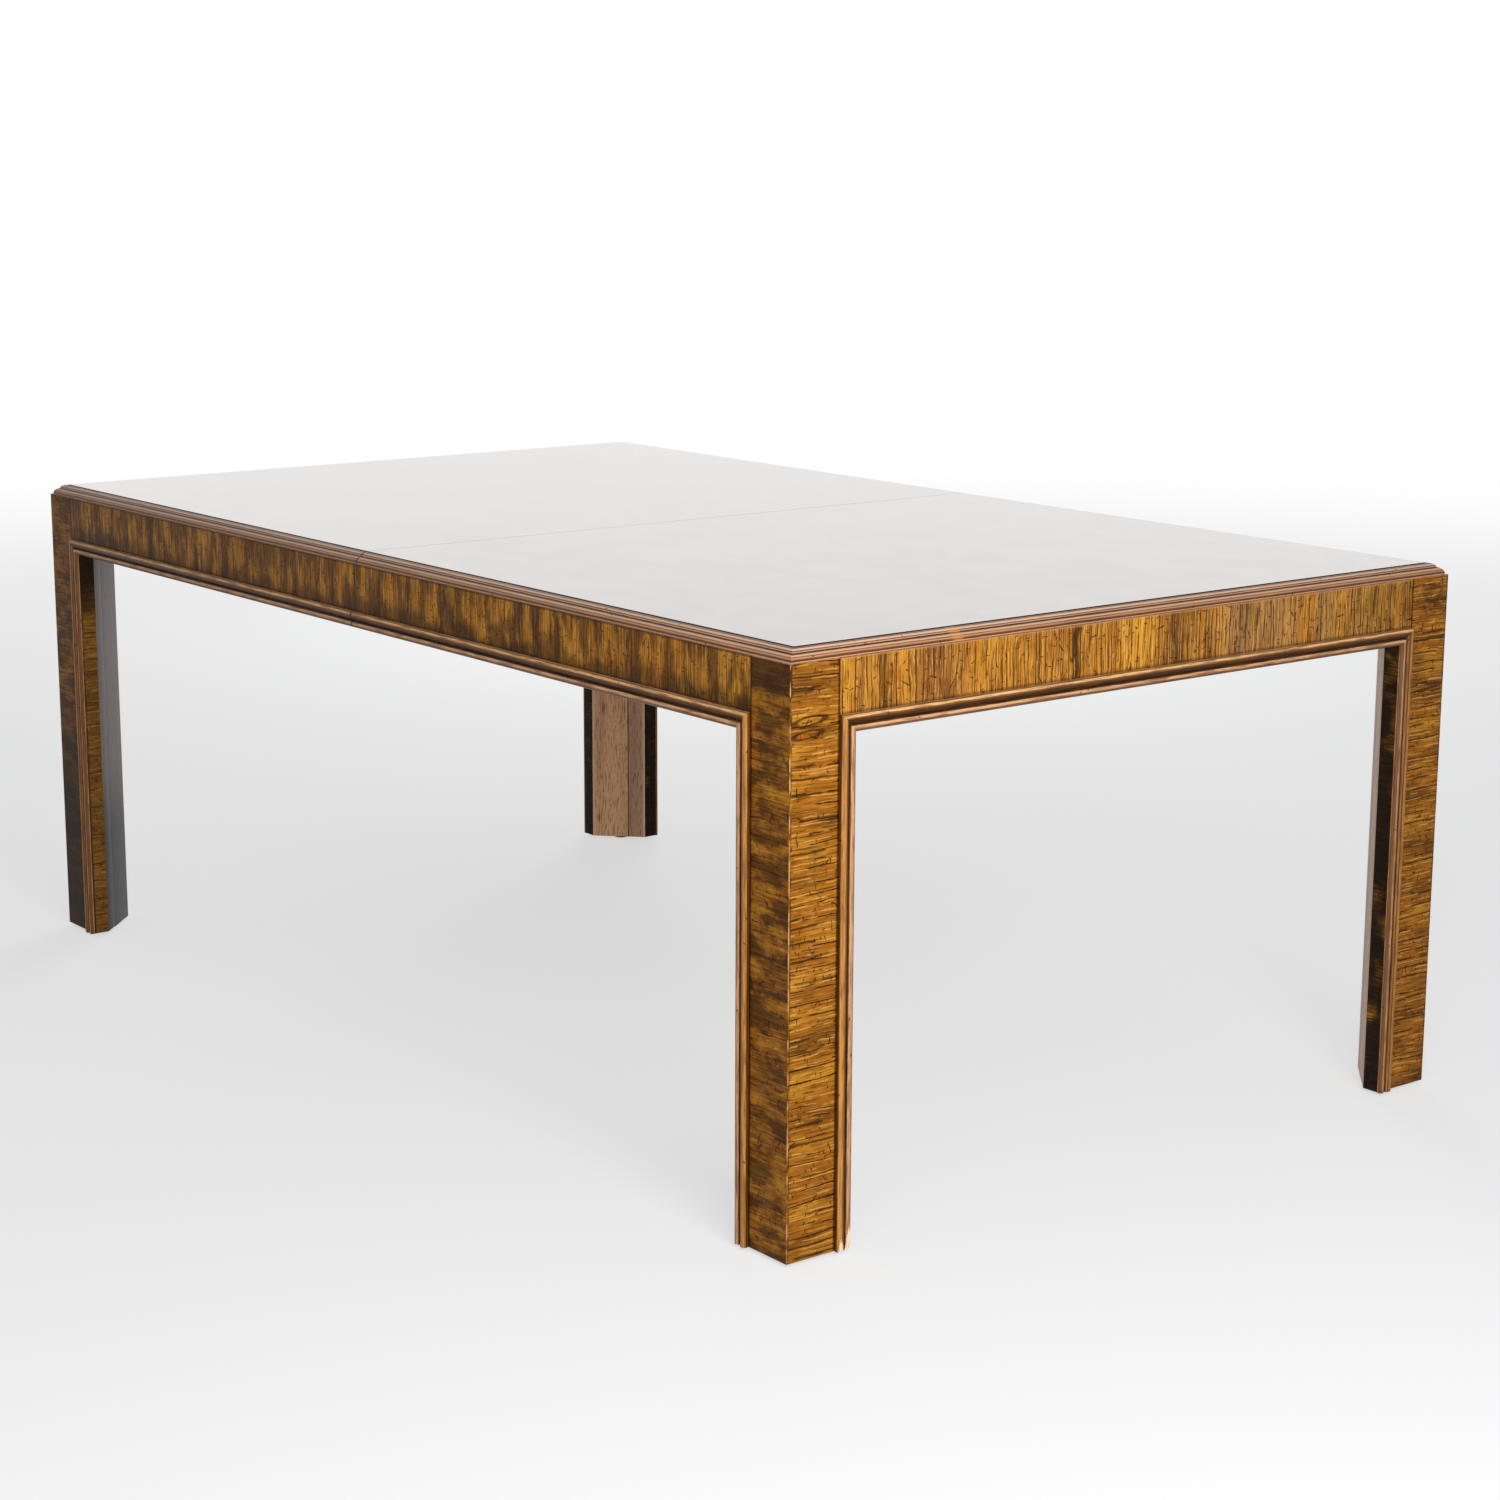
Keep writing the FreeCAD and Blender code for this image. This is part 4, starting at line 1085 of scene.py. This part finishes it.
def bare_wood(name, ground, dark, sizes):
    """Planed or broken wood with no stain on it."""
    finish = Finish(name, ground)
    place = finish.table_place()
    wide_sizes = tuple(broad_fibre_ratio * size for size in sizes)
    finish.cloud(place, wide_sizes, 2.0, 0.5, ((0.45, 0.70, dark, 0.45),))
    fibre = finish.cloud(place, sizes, 3.0, 0.6, ((*bare_fibre_step, dark, 0.75),))
    finish.press(finish.level(fibre, *bare_fibre_step), bare_fibre_depth)
    return finish.top_coat(0.6, 0.05, 0.4)


# outlines (y, z) of the chips out of the foot of the right front leg's end moulding, one in each bead
chips = (((-0.4892, 0.0), (-0.4785, 0.0), (-0.4790, 0.018), (-0.4832, 0.040), (-0.4872, 0.020)),
         ((-0.5008, 0.0), (-0.4904, 0.0), (-0.4922, 0.011), (-0.4965, 0.025), (-0.4998, 0.012)))
chip_floor = 0.0030
raw_fibre_sizes = (0.0012, 0.0012, 0.012)
raw_break = bare_wood("raw_break", "F4DCB8", "D2A878", raw_fibre_sizes)


def chipped(mesh):
    """The moulding with its broken corners gone, and raw wood where it broke."""
    cutters = []
    for outline in chips:
        points = [(half_length + chip_floor, y, z) for y, z in outline]
        cutter = mesh_from(block(points, (bead_wall_height * 2, 0, 0)), "chip")
        cutter.materials.append(raw_break)
        cutters.append(cutter)
    return carve(mesh, cutters)


moulding_seed = 61
for index, (half, row) in enumerate(corners):
    chance = random.Random(index + moulding_seed)
    corner = corner_matrix(half, row)
    head = axes_matrix((leg_face_width, 0, shoulder), (1, 0, 0), (0, 0, -1), (0, -1, 0))
    mesh = moulding(bead_section, half_length - seam_face - leg_face_width, (1, 0), corner @ head,
                    lit_head_finish, chance)
    stand_in(half + "_" + row + "_frame_moulding", mesh, [lit_head_finish])

    on_side = axes_matrix((leg_face_width, 0, leg_foot), (0, 0, 1), (1, 0, 0), (0, -1, 0))
    on_end = axes_matrix((0, leg_face_width, leg_foot), (0, 0, 1), (0, 1, 0), (-1, 0, 0))
    uprights = [moulding(bead_section, shoulder - leg_foot, (0, 1), corner @ face,
                         shaded_upright_finish, chance) for face in (on_side, on_end)]
    finishes = [shaded_upright_finish]
    if (half, row) == ("right", "front"):
        uprights[1] = chipped(uprights[1])
        finishes.append(raw_break)
    node = half + "_" + row + "_leg_mouldings"
    stand_in(node, joined(uprights, node), finishes)

end_moulding_seed = 71
for index, half in enumerate(half_signs):
    head = axes_matrix((0, leg_face_width, shoulder), (0, 1, 0), (0, 0, -1), (-1, 0, 0))
    mesh = moulding(bead_section, table_width - 2 * leg_face_width, (1, 1),
                    corner_matrix(half, "front") @ head, lit_head_finish,
                    random.Random(index + end_moulding_seed))
    stand_in(half + "_end_frame_moulding", mesh, [lit_head_finish])


# Top mouldings
# A solid lipping of two quarter rounds edges the top, set back from a narrow ledge on the aprons,
# mitred at the corners and cut at the seam. Dark glaze lies in its steps; the edges are rubbed pale,
# and the rounds carry painted highlights.

top_thickness = 0.0158
ledge_width = 0.0035
lower_round_width = 0.0082
lower_round_height = 0.0094
round_step = 0.0008
upper_round_width = 0.0110
upper_round_height = 0.0040
quarter_round_bulge_share = 0.207
lower_round_end = ledge_width + lower_round_width
top_moulding_inset = lower_round_end + upper_round_width
upper_round_start = lower_round_height + round_step
lipping_ease = 0.00035

lipping_outline = bowed((ledge_width, 0), (lower_round_end, lower_round_height), quarter_round_bulge_share)
lipping_outline += bowed((lower_round_end, upper_round_start),
                         (top_moulding_inset, upper_round_start + upper_round_height),
                         quarter_round_bulge_share)
lipping_outline += [(top_moulding_inset, 0)]
lipping_section = section_mesh(eased_outline(lipping_outline, lipping_ease), "lipping_section")
lipping_girths = [value.value for value in lipping_section.attributes["girth"].data]
lipping_rises = [vertex.co.z for vertex in lipping_section.vertices]

# bands of the finish, by the height on the moulding: start, end, colour and strength; the pale ones are
# painted highlights on the rounds and rubbed edges, the dark ones glaze in the steps
lipping_glaze_and_light = ((0.0000, 0.0014, "D2A078", 0.75), (0.0017, 0.0037, "3A1C0A", 0.85),
                 (0.0046, 0.0056, "CC9E78", 0.6), (0.0070, 0.0086, "DCB08C", 0.80),
                 (0.0089, 0.0101, "240F05", 0.95), (0.0104, 0.0112, "D4A884", 0.7),
                 (0.0114, 0.0121, "5E3A20", 0.55), (0.0126, 0.0142, "E6C2A8", 0.80))


lipping_wander = ((0.024, 0.004, 1.0), 0.0009)
lipping_knocks = {"spacing": 0.034, "length": 0.0045, "thickness": 0.0010, "share": 0.45, "curl": 0.6}
by_panel_dark = (0.0022, 0.0010)
# a paler spot on the right end: its middle, and where it starts and is full
pale_spot_y = -0.317
pale_spot_reach = (0.013, 0.003)
right_end = 0.9


def top_moulding_wood():
    finish, place = moulding_ground("top_moulding_wood", "8E5C36", "48280F", "B08054")
    _, girth, _ = finish.parts(place)
    girth = finish.number("ADD", girth, finish.drift(place, *lipping_wander))
    # glaze in the steps, and painted highlights on the rounds
    for start, end, code, strength in lipping_glaze_and_light:
        glaze_and_light_band(finish, girth, girth_at(start, lipping_girths, lipping_rises),
                   girth_at(end, lipping_girths, lipping_rises), code, strength)
    by_panel = lipping_girths[-1] - upper_round_start - upper_round_height
    none_at, full_at = [by_panel - off for off in by_panel_dark]
    finish.paint(finish.level(girth, none_at, full_at), "180A04", 0.9)
    finish.paint(finish.knocks(place, **lipping_knocks), "1F0F06", 0.8)
    x, y, _ = finish.parts(finish.table_place())
    off_spot = finish.size_of(finish.number("SUBTRACT", y, pale_spot_y))
    at_spot = finish.product(finish.level(off_spot, *pale_spot_reach),
                             finish.number("GREATER_THAN", x, right_end))
    finish.paint(at_spot, "E39A48", 0.35)
    glaze_at_seam(finish)
    return finish.top_coat(0.38, 0.06, 0.14, clarity=0.22)


top_moulding_finish = top_moulding_wood()

side_lipping_seed = 81
for index, (half, row) in enumerate(corners):
    along_side = axes_matrix((0, 0, carcass_top), (1, 0, 0), (0, 1, 0), (0, 0, 1))
    mesh = moulding(lipping_section, half_length - seam_face, (1, 0), corner_matrix(half, row) @ along_side,
                    top_moulding_finish, random.Random(index + side_lipping_seed))
    stand_in(half + "_" + row + "_top_moulding", mesh, [top_moulding_finish])

end_lipping_seed = 91
for index, half in enumerate(half_signs):
    along_end = axes_matrix((0, 0, carcass_top), (0, 1, 0), (1, 0, 0), (0, 0, 1))
    mesh = moulding(lipping_section, table_width, (1, 1), corner_matrix(half, "front") @ along_end,
                    top_moulding_finish, random.Random(index + end_lipping_seed))
    stand_in(half + "_end_top_moulding", mesh, [top_moulding_finish])


# Top panels
# Two veneered boards that meet at the seam and stand a little above the lipping round them. The face
# is burl under a thick polished lacquer; the edge is glazed black, the underside is plain veneer.

table_height = carcass_top + top_thickness
panel_ease = 0.0005


# the burl: the bend of its figure, its clouds, its folded swirls, and its eyes and their clusters
burl_bend_sizes = (0.30, 0.30, 0.30)
burl_bend_reach = (0.20, 0.16)
burl_clouds = ((0.11, 0.08, 0.10), 4.0, 0.6, ((0.44, 0.66, "B98452", 0.85), (0.50, 0.30, "5C3820", 0.85)),
               1.2)
burl_swirls = {"sizes": (0.045, 0.035, 0.04), "detail": 5.0, "roughness": 0.62, "distortion": 2.6}
burl_folds = 7.0
fold_line = (0.16, 0.02)
burl_eyes = 95.0
eye_edge = (0.34, 0.12)
eye_cluster_sizes = (0.06, 0.05, 0.05)
eye_cluster_step = (0.52, 0.66)
# dark lines at the seam and beside the lipping, and the slight unevenness of the lacquer
panel_seam_dark = (0.0030, 0.0014)
by_lipping_dark = (0.0012, 0.0005)
orange_peel_sizes = (0.012, 0.012, 0.012)
orange_peel_depth = 0.00001
# how strongly the thick coat mirrors pale surroundings at a low angle
coat_refraction = 2.0


def burl_veneer():
    finish = Finish("top_veneer", "8F5E38")
    place = finish.table_place()
    bend = finish.drift(place, burl_bend_sizes, 1.0)
    x_bend, y_bend = [finish.number("MULTIPLY", bend, reach) for reach in burl_bend_reach]
    place = finish.moved(place, x=x_bend, y=y_bend)
    finish.cloud(place, *burl_clouds)
    swirls = finish.noise(place, **burl_swirls)
    folded = finish.number("PINGPONG", finish.number("MULTIPLY", swirls, burl_folds), 0.5)
    finish.paint(finish.level(folded, *fold_line), "44260F", 0.55)
    eyes = finish.add("ShaderNodeTexVoronoi", {"Vector": place, "Scale": burl_eyes}, feature="F1")
    clusters = finish.level(finish.noise(place, eye_cluster_sizes, detail=1.0), *eye_cluster_step)
    finish.paint(finish.product(finish.level(eyes.outputs["Distance"], *eye_edge), clusters), "38200F", 0.8)
    x, y, _ = finish.parts(finish.table_place())
    from_seam = finish.size_of(x)
    finish.paint(finish.level(from_seam, *panel_seam_dark), "0E0703", 0.95)
    end_gap = finish.number("SUBTRACT", half_length - top_moulding_inset, from_seam)
    side_gap = finish.number("SUBTRACT", half_width - top_moulding_inset, finish.size_of(y))
    nearest = finish.number("MINIMUM", end_gap, side_gap)
    finish.paint(finish.level(nearest, *by_lipping_dark), "2A170B", 0.7)
    finish.press(finish.noise(finish.table_place(), orange_peel_sizes, detail=1.0), orange_peel_depth)
    return finish.top_coat(0.12, 1.0, 0.05, clarity=1.0, extra={"Coat IOR": coat_refraction})


panel_edge = board("panel_edge", "180B05", "0C0502", apron_fibre_sizes).top_coat(0.6, 0.0, 0.3, clarity=0.15)
panel_finishes = [burl_veneer(), apron_board, panel_edge]


def panel_finish(normal):
    """Burl on top, black glaze on the outer edges, and plain board at the seam and underneath."""
    if abs(normal.z) > facing:
        return 0 if normal.z > 0 else 1
    return 1 if normal.x > facing else 2


def panel_grain(normal):
    """Along the table, and across it on the faces at the ends."""
    return Vector((1, 0, 0)) if abs(normal.x) < facing else Vector((0, 1, 0))


panel_seed = 101
for index, half in enumerate(half_signs):
    node = half + "_top_panel"
    low_v = top_moulding_inset
    high_v = table_width - top_moulding_inset
    seam = half_length - seam_face
    outline = [(top_moulding_inset, low_v), (seam, low_v), (seam, high_v), (top_moulding_inset, high_v)]
    solid = block([(u, v, carcass_top) for u, v in outline], (0, 0, top_thickness))
    ease(solid, panel_ease, lambda co: near(co.z, table_height))
    mesh = mesh_from(solid, node)
    lay_grain(mesh, panel_grain, panel_finish, random.Random(index + panel_seed))
    stand_in(node, set_up(mesh, corner_matrix(half, "front")), panel_finishes)


# Bare wood inside the frame
# Corner braces, glue blocks, slides and packers are planed hardwood, left bare or waxed, with the
# grain along each piece. They are screwed or glued in place before the top goes on.

def refinish(node, finish):
    """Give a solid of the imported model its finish; its shape is right as it is."""
    for slot in nodes[node].material_slots:
        slot.material = finish


block_fibre_sizes = (0.012, 0.012, 0.0025)
slide_fibre_sizes = (0.080, 0.0022, 0.0022)
block_wood = bare_wood("block_wood", "B18A5E", "7C5936", block_fibre_sizes)
slide_wood = bare_wood("slide_wood", "C19C6C", "8A6540", slide_fibre_sizes)
for half in half_signs:
    refinish(half + "_corner_braces", block_wood)
    refinish(half + "_glue_blocks", block_wood)
    refinish(half + "_slide_rails", slide_wood)
    refinish(half + "_slide_packers", slide_wood)
refinish("centre_slide_rails", slide_wood)


# Nylon and metal fittings
# Moulded nylon glides, racks and pinions, turned brass table pins, and zinc-plated steel screws,
# bolts, stops and locks. They are bought in and driven or screwed into the wood.

speck_sizes = (0.004, 0.004, 0.004)
mould_sizes = (0.0012, 0.0012, 0.0012)
mould_depth = 0.00002
stain_sizes = (0.010, 0.010, 0.010)
brushed_sizes = (0.020, 0.0008, 0.0008)
brushed_depth = 0.00001


def plain_plastic(name, ground, speck, roughness):
    finish = Finish(name, ground)
    place = finish.table_place()
    finish.cloud(place, speck_sizes, 3.0, 0.5, ((0.5, 0.7, speck, 0.4),))
    finish.press(finish.noise(place, mould_sizes, detail=1.0), mould_depth)
    return finish.top_coat(roughness, 0.0, 0.1)


def metal(name, ground, dull, roughness):
    finish = Finish(name, ground)
    place = finish.table_place()
    finish.cloud(place, stain_sizes, 3.0, 0.5, ((0.45, 0.7, dull, 0.6),))
    finish.press(finish.noise(place, brushed_sizes, detail=1.0), brushed_depth)
    return finish.top_coat(roughness, 0.0, 0.1, extra={"Metallic": 1.0})


glide_nylon = plain_plastic("glide_nylon", "1C1916", "2E2A26", 0.45)
gear_nylon = plain_plastic("gear_nylon", "D8D0BC", "C4BAA2", 0.4)
pin_brass = metal("pin_brass", "C9A45C", "8E7038", 0.28)
fastener_steel = metal("fastener_steel", "A8A8AA", "77767A", 0.32)
lock_steel = metal("lock_steel", "9C9A92", "6E6A60", 0.38)
for half in half_signs:
    refinish(half + "_leg_glides", glide_nylon)
    refinish(half + "_slide_racks", gear_nylon)
    for fitting in ("_brace_bolts", "_slide_screws", "_slide_stop_pins", "_lock_screws"):
        refinish(half + fitting, fastener_steel)
for row in row_signs:
    refinish(row + "_pinion", gear_nylon)
    refinish(row + "_lock_lever", lock_steel)
for node in ("slide_stop_plates", "pinion_axles"):
    refinish(node, fastener_steel)
for node in ("table_pins", "pin_sockets"):
    refinish(node, pin_brass)
for node in ("lock_bases", "lock_pivots", "lock_catches"):
    refinish(node, lock_steel)


# Floor, light and camera
# A pale floor that fades to white, soft lamps at the right end, low in front and behind, and a camera
# at the photograph's own place and lens. The white room is what the polished top mirrors.

white = (1, 1, 1, 1)
room_tint = (0.93, 0.96, 1.0, 1)
room_strength = 0.27
floor_radius = 14.0
floor_segments = 64
floor_tone = (0.86, 0.86, 0.86, 1)
bounce_tone = (0.10, 0.10, 0.10, 1)
glow_share = 0.60
floor_fade = (2.2, 7.5)
backdrop_start = 2.6
backdrop_end = 3.6
backdrop_heading = Vector((-0.79, 0.61))
photo_width = 1500
photo_focal = 2996.2
camera_place = Vector((3.5709, -2.6668, 1.3394))
camera_heading = math.radians(-52.026)
camera_pitch = math.radians(12.011)
camera_roll = math.radians(0.237)
sensor_width = 36.0
# soft boxes: name, place, what it points at, size, power, and whether polish mirrors it
lamps = (("key_lamp", (3.0, -1.3, 1.6), (0.9, -0.3, 0.5), (1.4, 1.0), 52, True),
         ("low_lamp", (3.9, -1.2, 0.45), (-0.4, 0.1, 0.35), (1.2, 0.5), 24, True),
         ("front_lamp", (2.6, -3.0, 0.7), (-0.5, 0.2, 0.35), (1.8, 0.9), 36, True),
         ("back_lamp", (-3.0, 2.6, 1.7), (-0.3, 0.1, 0.45), (1.6, 1.0), 42, False))


def shown_share(tree):
    """Full for what the camera sees, straight, mirrored or through glass, and nothing for other light."""
    path = add_node(tree, "ShaderNodeLightPath", {}).outputs
    mirrored = add_node(tree, "ShaderNodeMath", {0: path["Is Glossy Ray"], 1: path["Is Transmission Ray"]},
                        operation="ADD")
    return add_node(tree, "ShaderNodeMath", {0: path["Is Camera Ray"], 1: mirrored.outputs[0]},
                    operation="ADD", use_clamp=True).outputs[0]


def floor_material():
    """Pale where it is seen or mirrored, with the table's shadow on it; it throws little light back up."""
    finish = Finish("floor", "FFFFFF")
    x, y, _ = finish.parts(finish.table_place())
    radius = finish.number("SQRT", finish.number("ADD", finish.product(x, x), finish.product(y, y)))
    far = finish.level(radius, *floor_fade)
    behind = finish.number("ADD", finish.number("MULTIPLY", x, backdrop_heading.x),
                           finish.number("MULTIPLY", y, backdrop_heading.y))
    backdrop = finish.level(behind, backdrop_start, backdrop_end)
    cloth = finish.add("ShaderNodeBsdfDiffuse", {"Color": floor_tone})
    boards = finish.add("ShaderNodeBsdfDiffuse", {"Color": bounce_tone})
    glow = finish.add("ShaderNodeEmission", {"Color": white, "Strength": 1.0})
    pale = finish.add("ShaderNodeMixShader", {0: glow_share, 1: cloth.outputs[0], 2: glow.outputs[0]})
    seen = finish.add("ShaderNodeMixShader", {0: far, 1: pale.outputs[0], 2: glow.outputs[0]})
    felt = finish.add("ShaderNodeMixShader", {0: backdrop, 1: boards.outputs[0], 2: glow.outputs[0]})
    whole = finish.add("ShaderNodeMixShader",
                       {0: shown_share(finish.tree), 1: felt.outputs[0], 2: seen.outputs[0]})
    finish.add("ShaderNodeOutputMaterial", {"Surface": whole.outputs[0]})
    return finish.material


disc = bmesh.new()
bmesh.ops.create_circle(disc, cap_ends=True, radius=floor_radius, segments=floor_segments)
floor_mesh = mesh_from(disc, "floor")
floor_mesh.materials.append(floor_material())
floor = bpy.data.objects.new("floor", floor_mesh)
scene.collection.objects.link(floor)

world = bpy.data.worlds.new("studio")
world.use_nodes = True
scene.world = world
studio = world.node_tree
studio.nodes.clear()
room = add_node(studio, "ShaderNodeBackground", {"Color": room_tint, "Strength": room_strength})
backdrop = add_node(studio, "ShaderNodeBackground", {"Color": white, "Strength": 1.0})
both = add_node(studio, "ShaderNodeMixShader",
                {0: shown_share(studio), 1: room.outputs[0], 2: backdrop.outputs[0]})
add_node(studio, "ShaderNodeOutputWorld", {"Surface": both.outputs[0]})


def soft_lamp(name, place, target, size, power, shines):
    """A soft box that the camera doesn't see, and that polish mirrors only if it shines."""
    lamp = bpy.data.lights.new(name, "AREA")
    lamp.shape = "RECTANGLE"
    lamp.size, lamp.size_y = size
    lamp.energy = power
    holder = bpy.data.objects.new(name, lamp)
    holder.location = place
    holder.rotation_euler = (Vector(target) - Vector(place)).to_track_quat("-Z", "Y").to_euler()
    holder.visible_camera = False
    holder.visible_glossy = shines
    scene.collection.objects.link(holder)


for measures in lamps:
    soft_lamp(*measures)

forward = Vector((math.sin(camera_heading) * math.cos(camera_pitch),
                  math.cos(camera_heading) * math.cos(camera_pitch), -math.sin(camera_pitch)))
level_right = Vector((math.cos(camera_heading), -math.sin(camera_heading), 0))
level_up = level_right.cross(forward)
right = level_right * math.cos(camera_roll) + level_up * math.sin(camera_roll)
up = level_up * math.cos(camera_roll) - level_right * math.sin(camera_roll)
camera_data = bpy.data.cameras.new("camera")
camera_data.sensor_width = sensor_width
camera_data.lens = sensor_width * photo_focal / photo_width
camera = bpy.data.objects.new("camera", camera_data)
camera.matrix_world = axes_matrix(camera_place, right, up, -forward)
scene.collection.objects.link(camera)
scene.camera = camera
scene.view_settings.view_transform = "Standard"
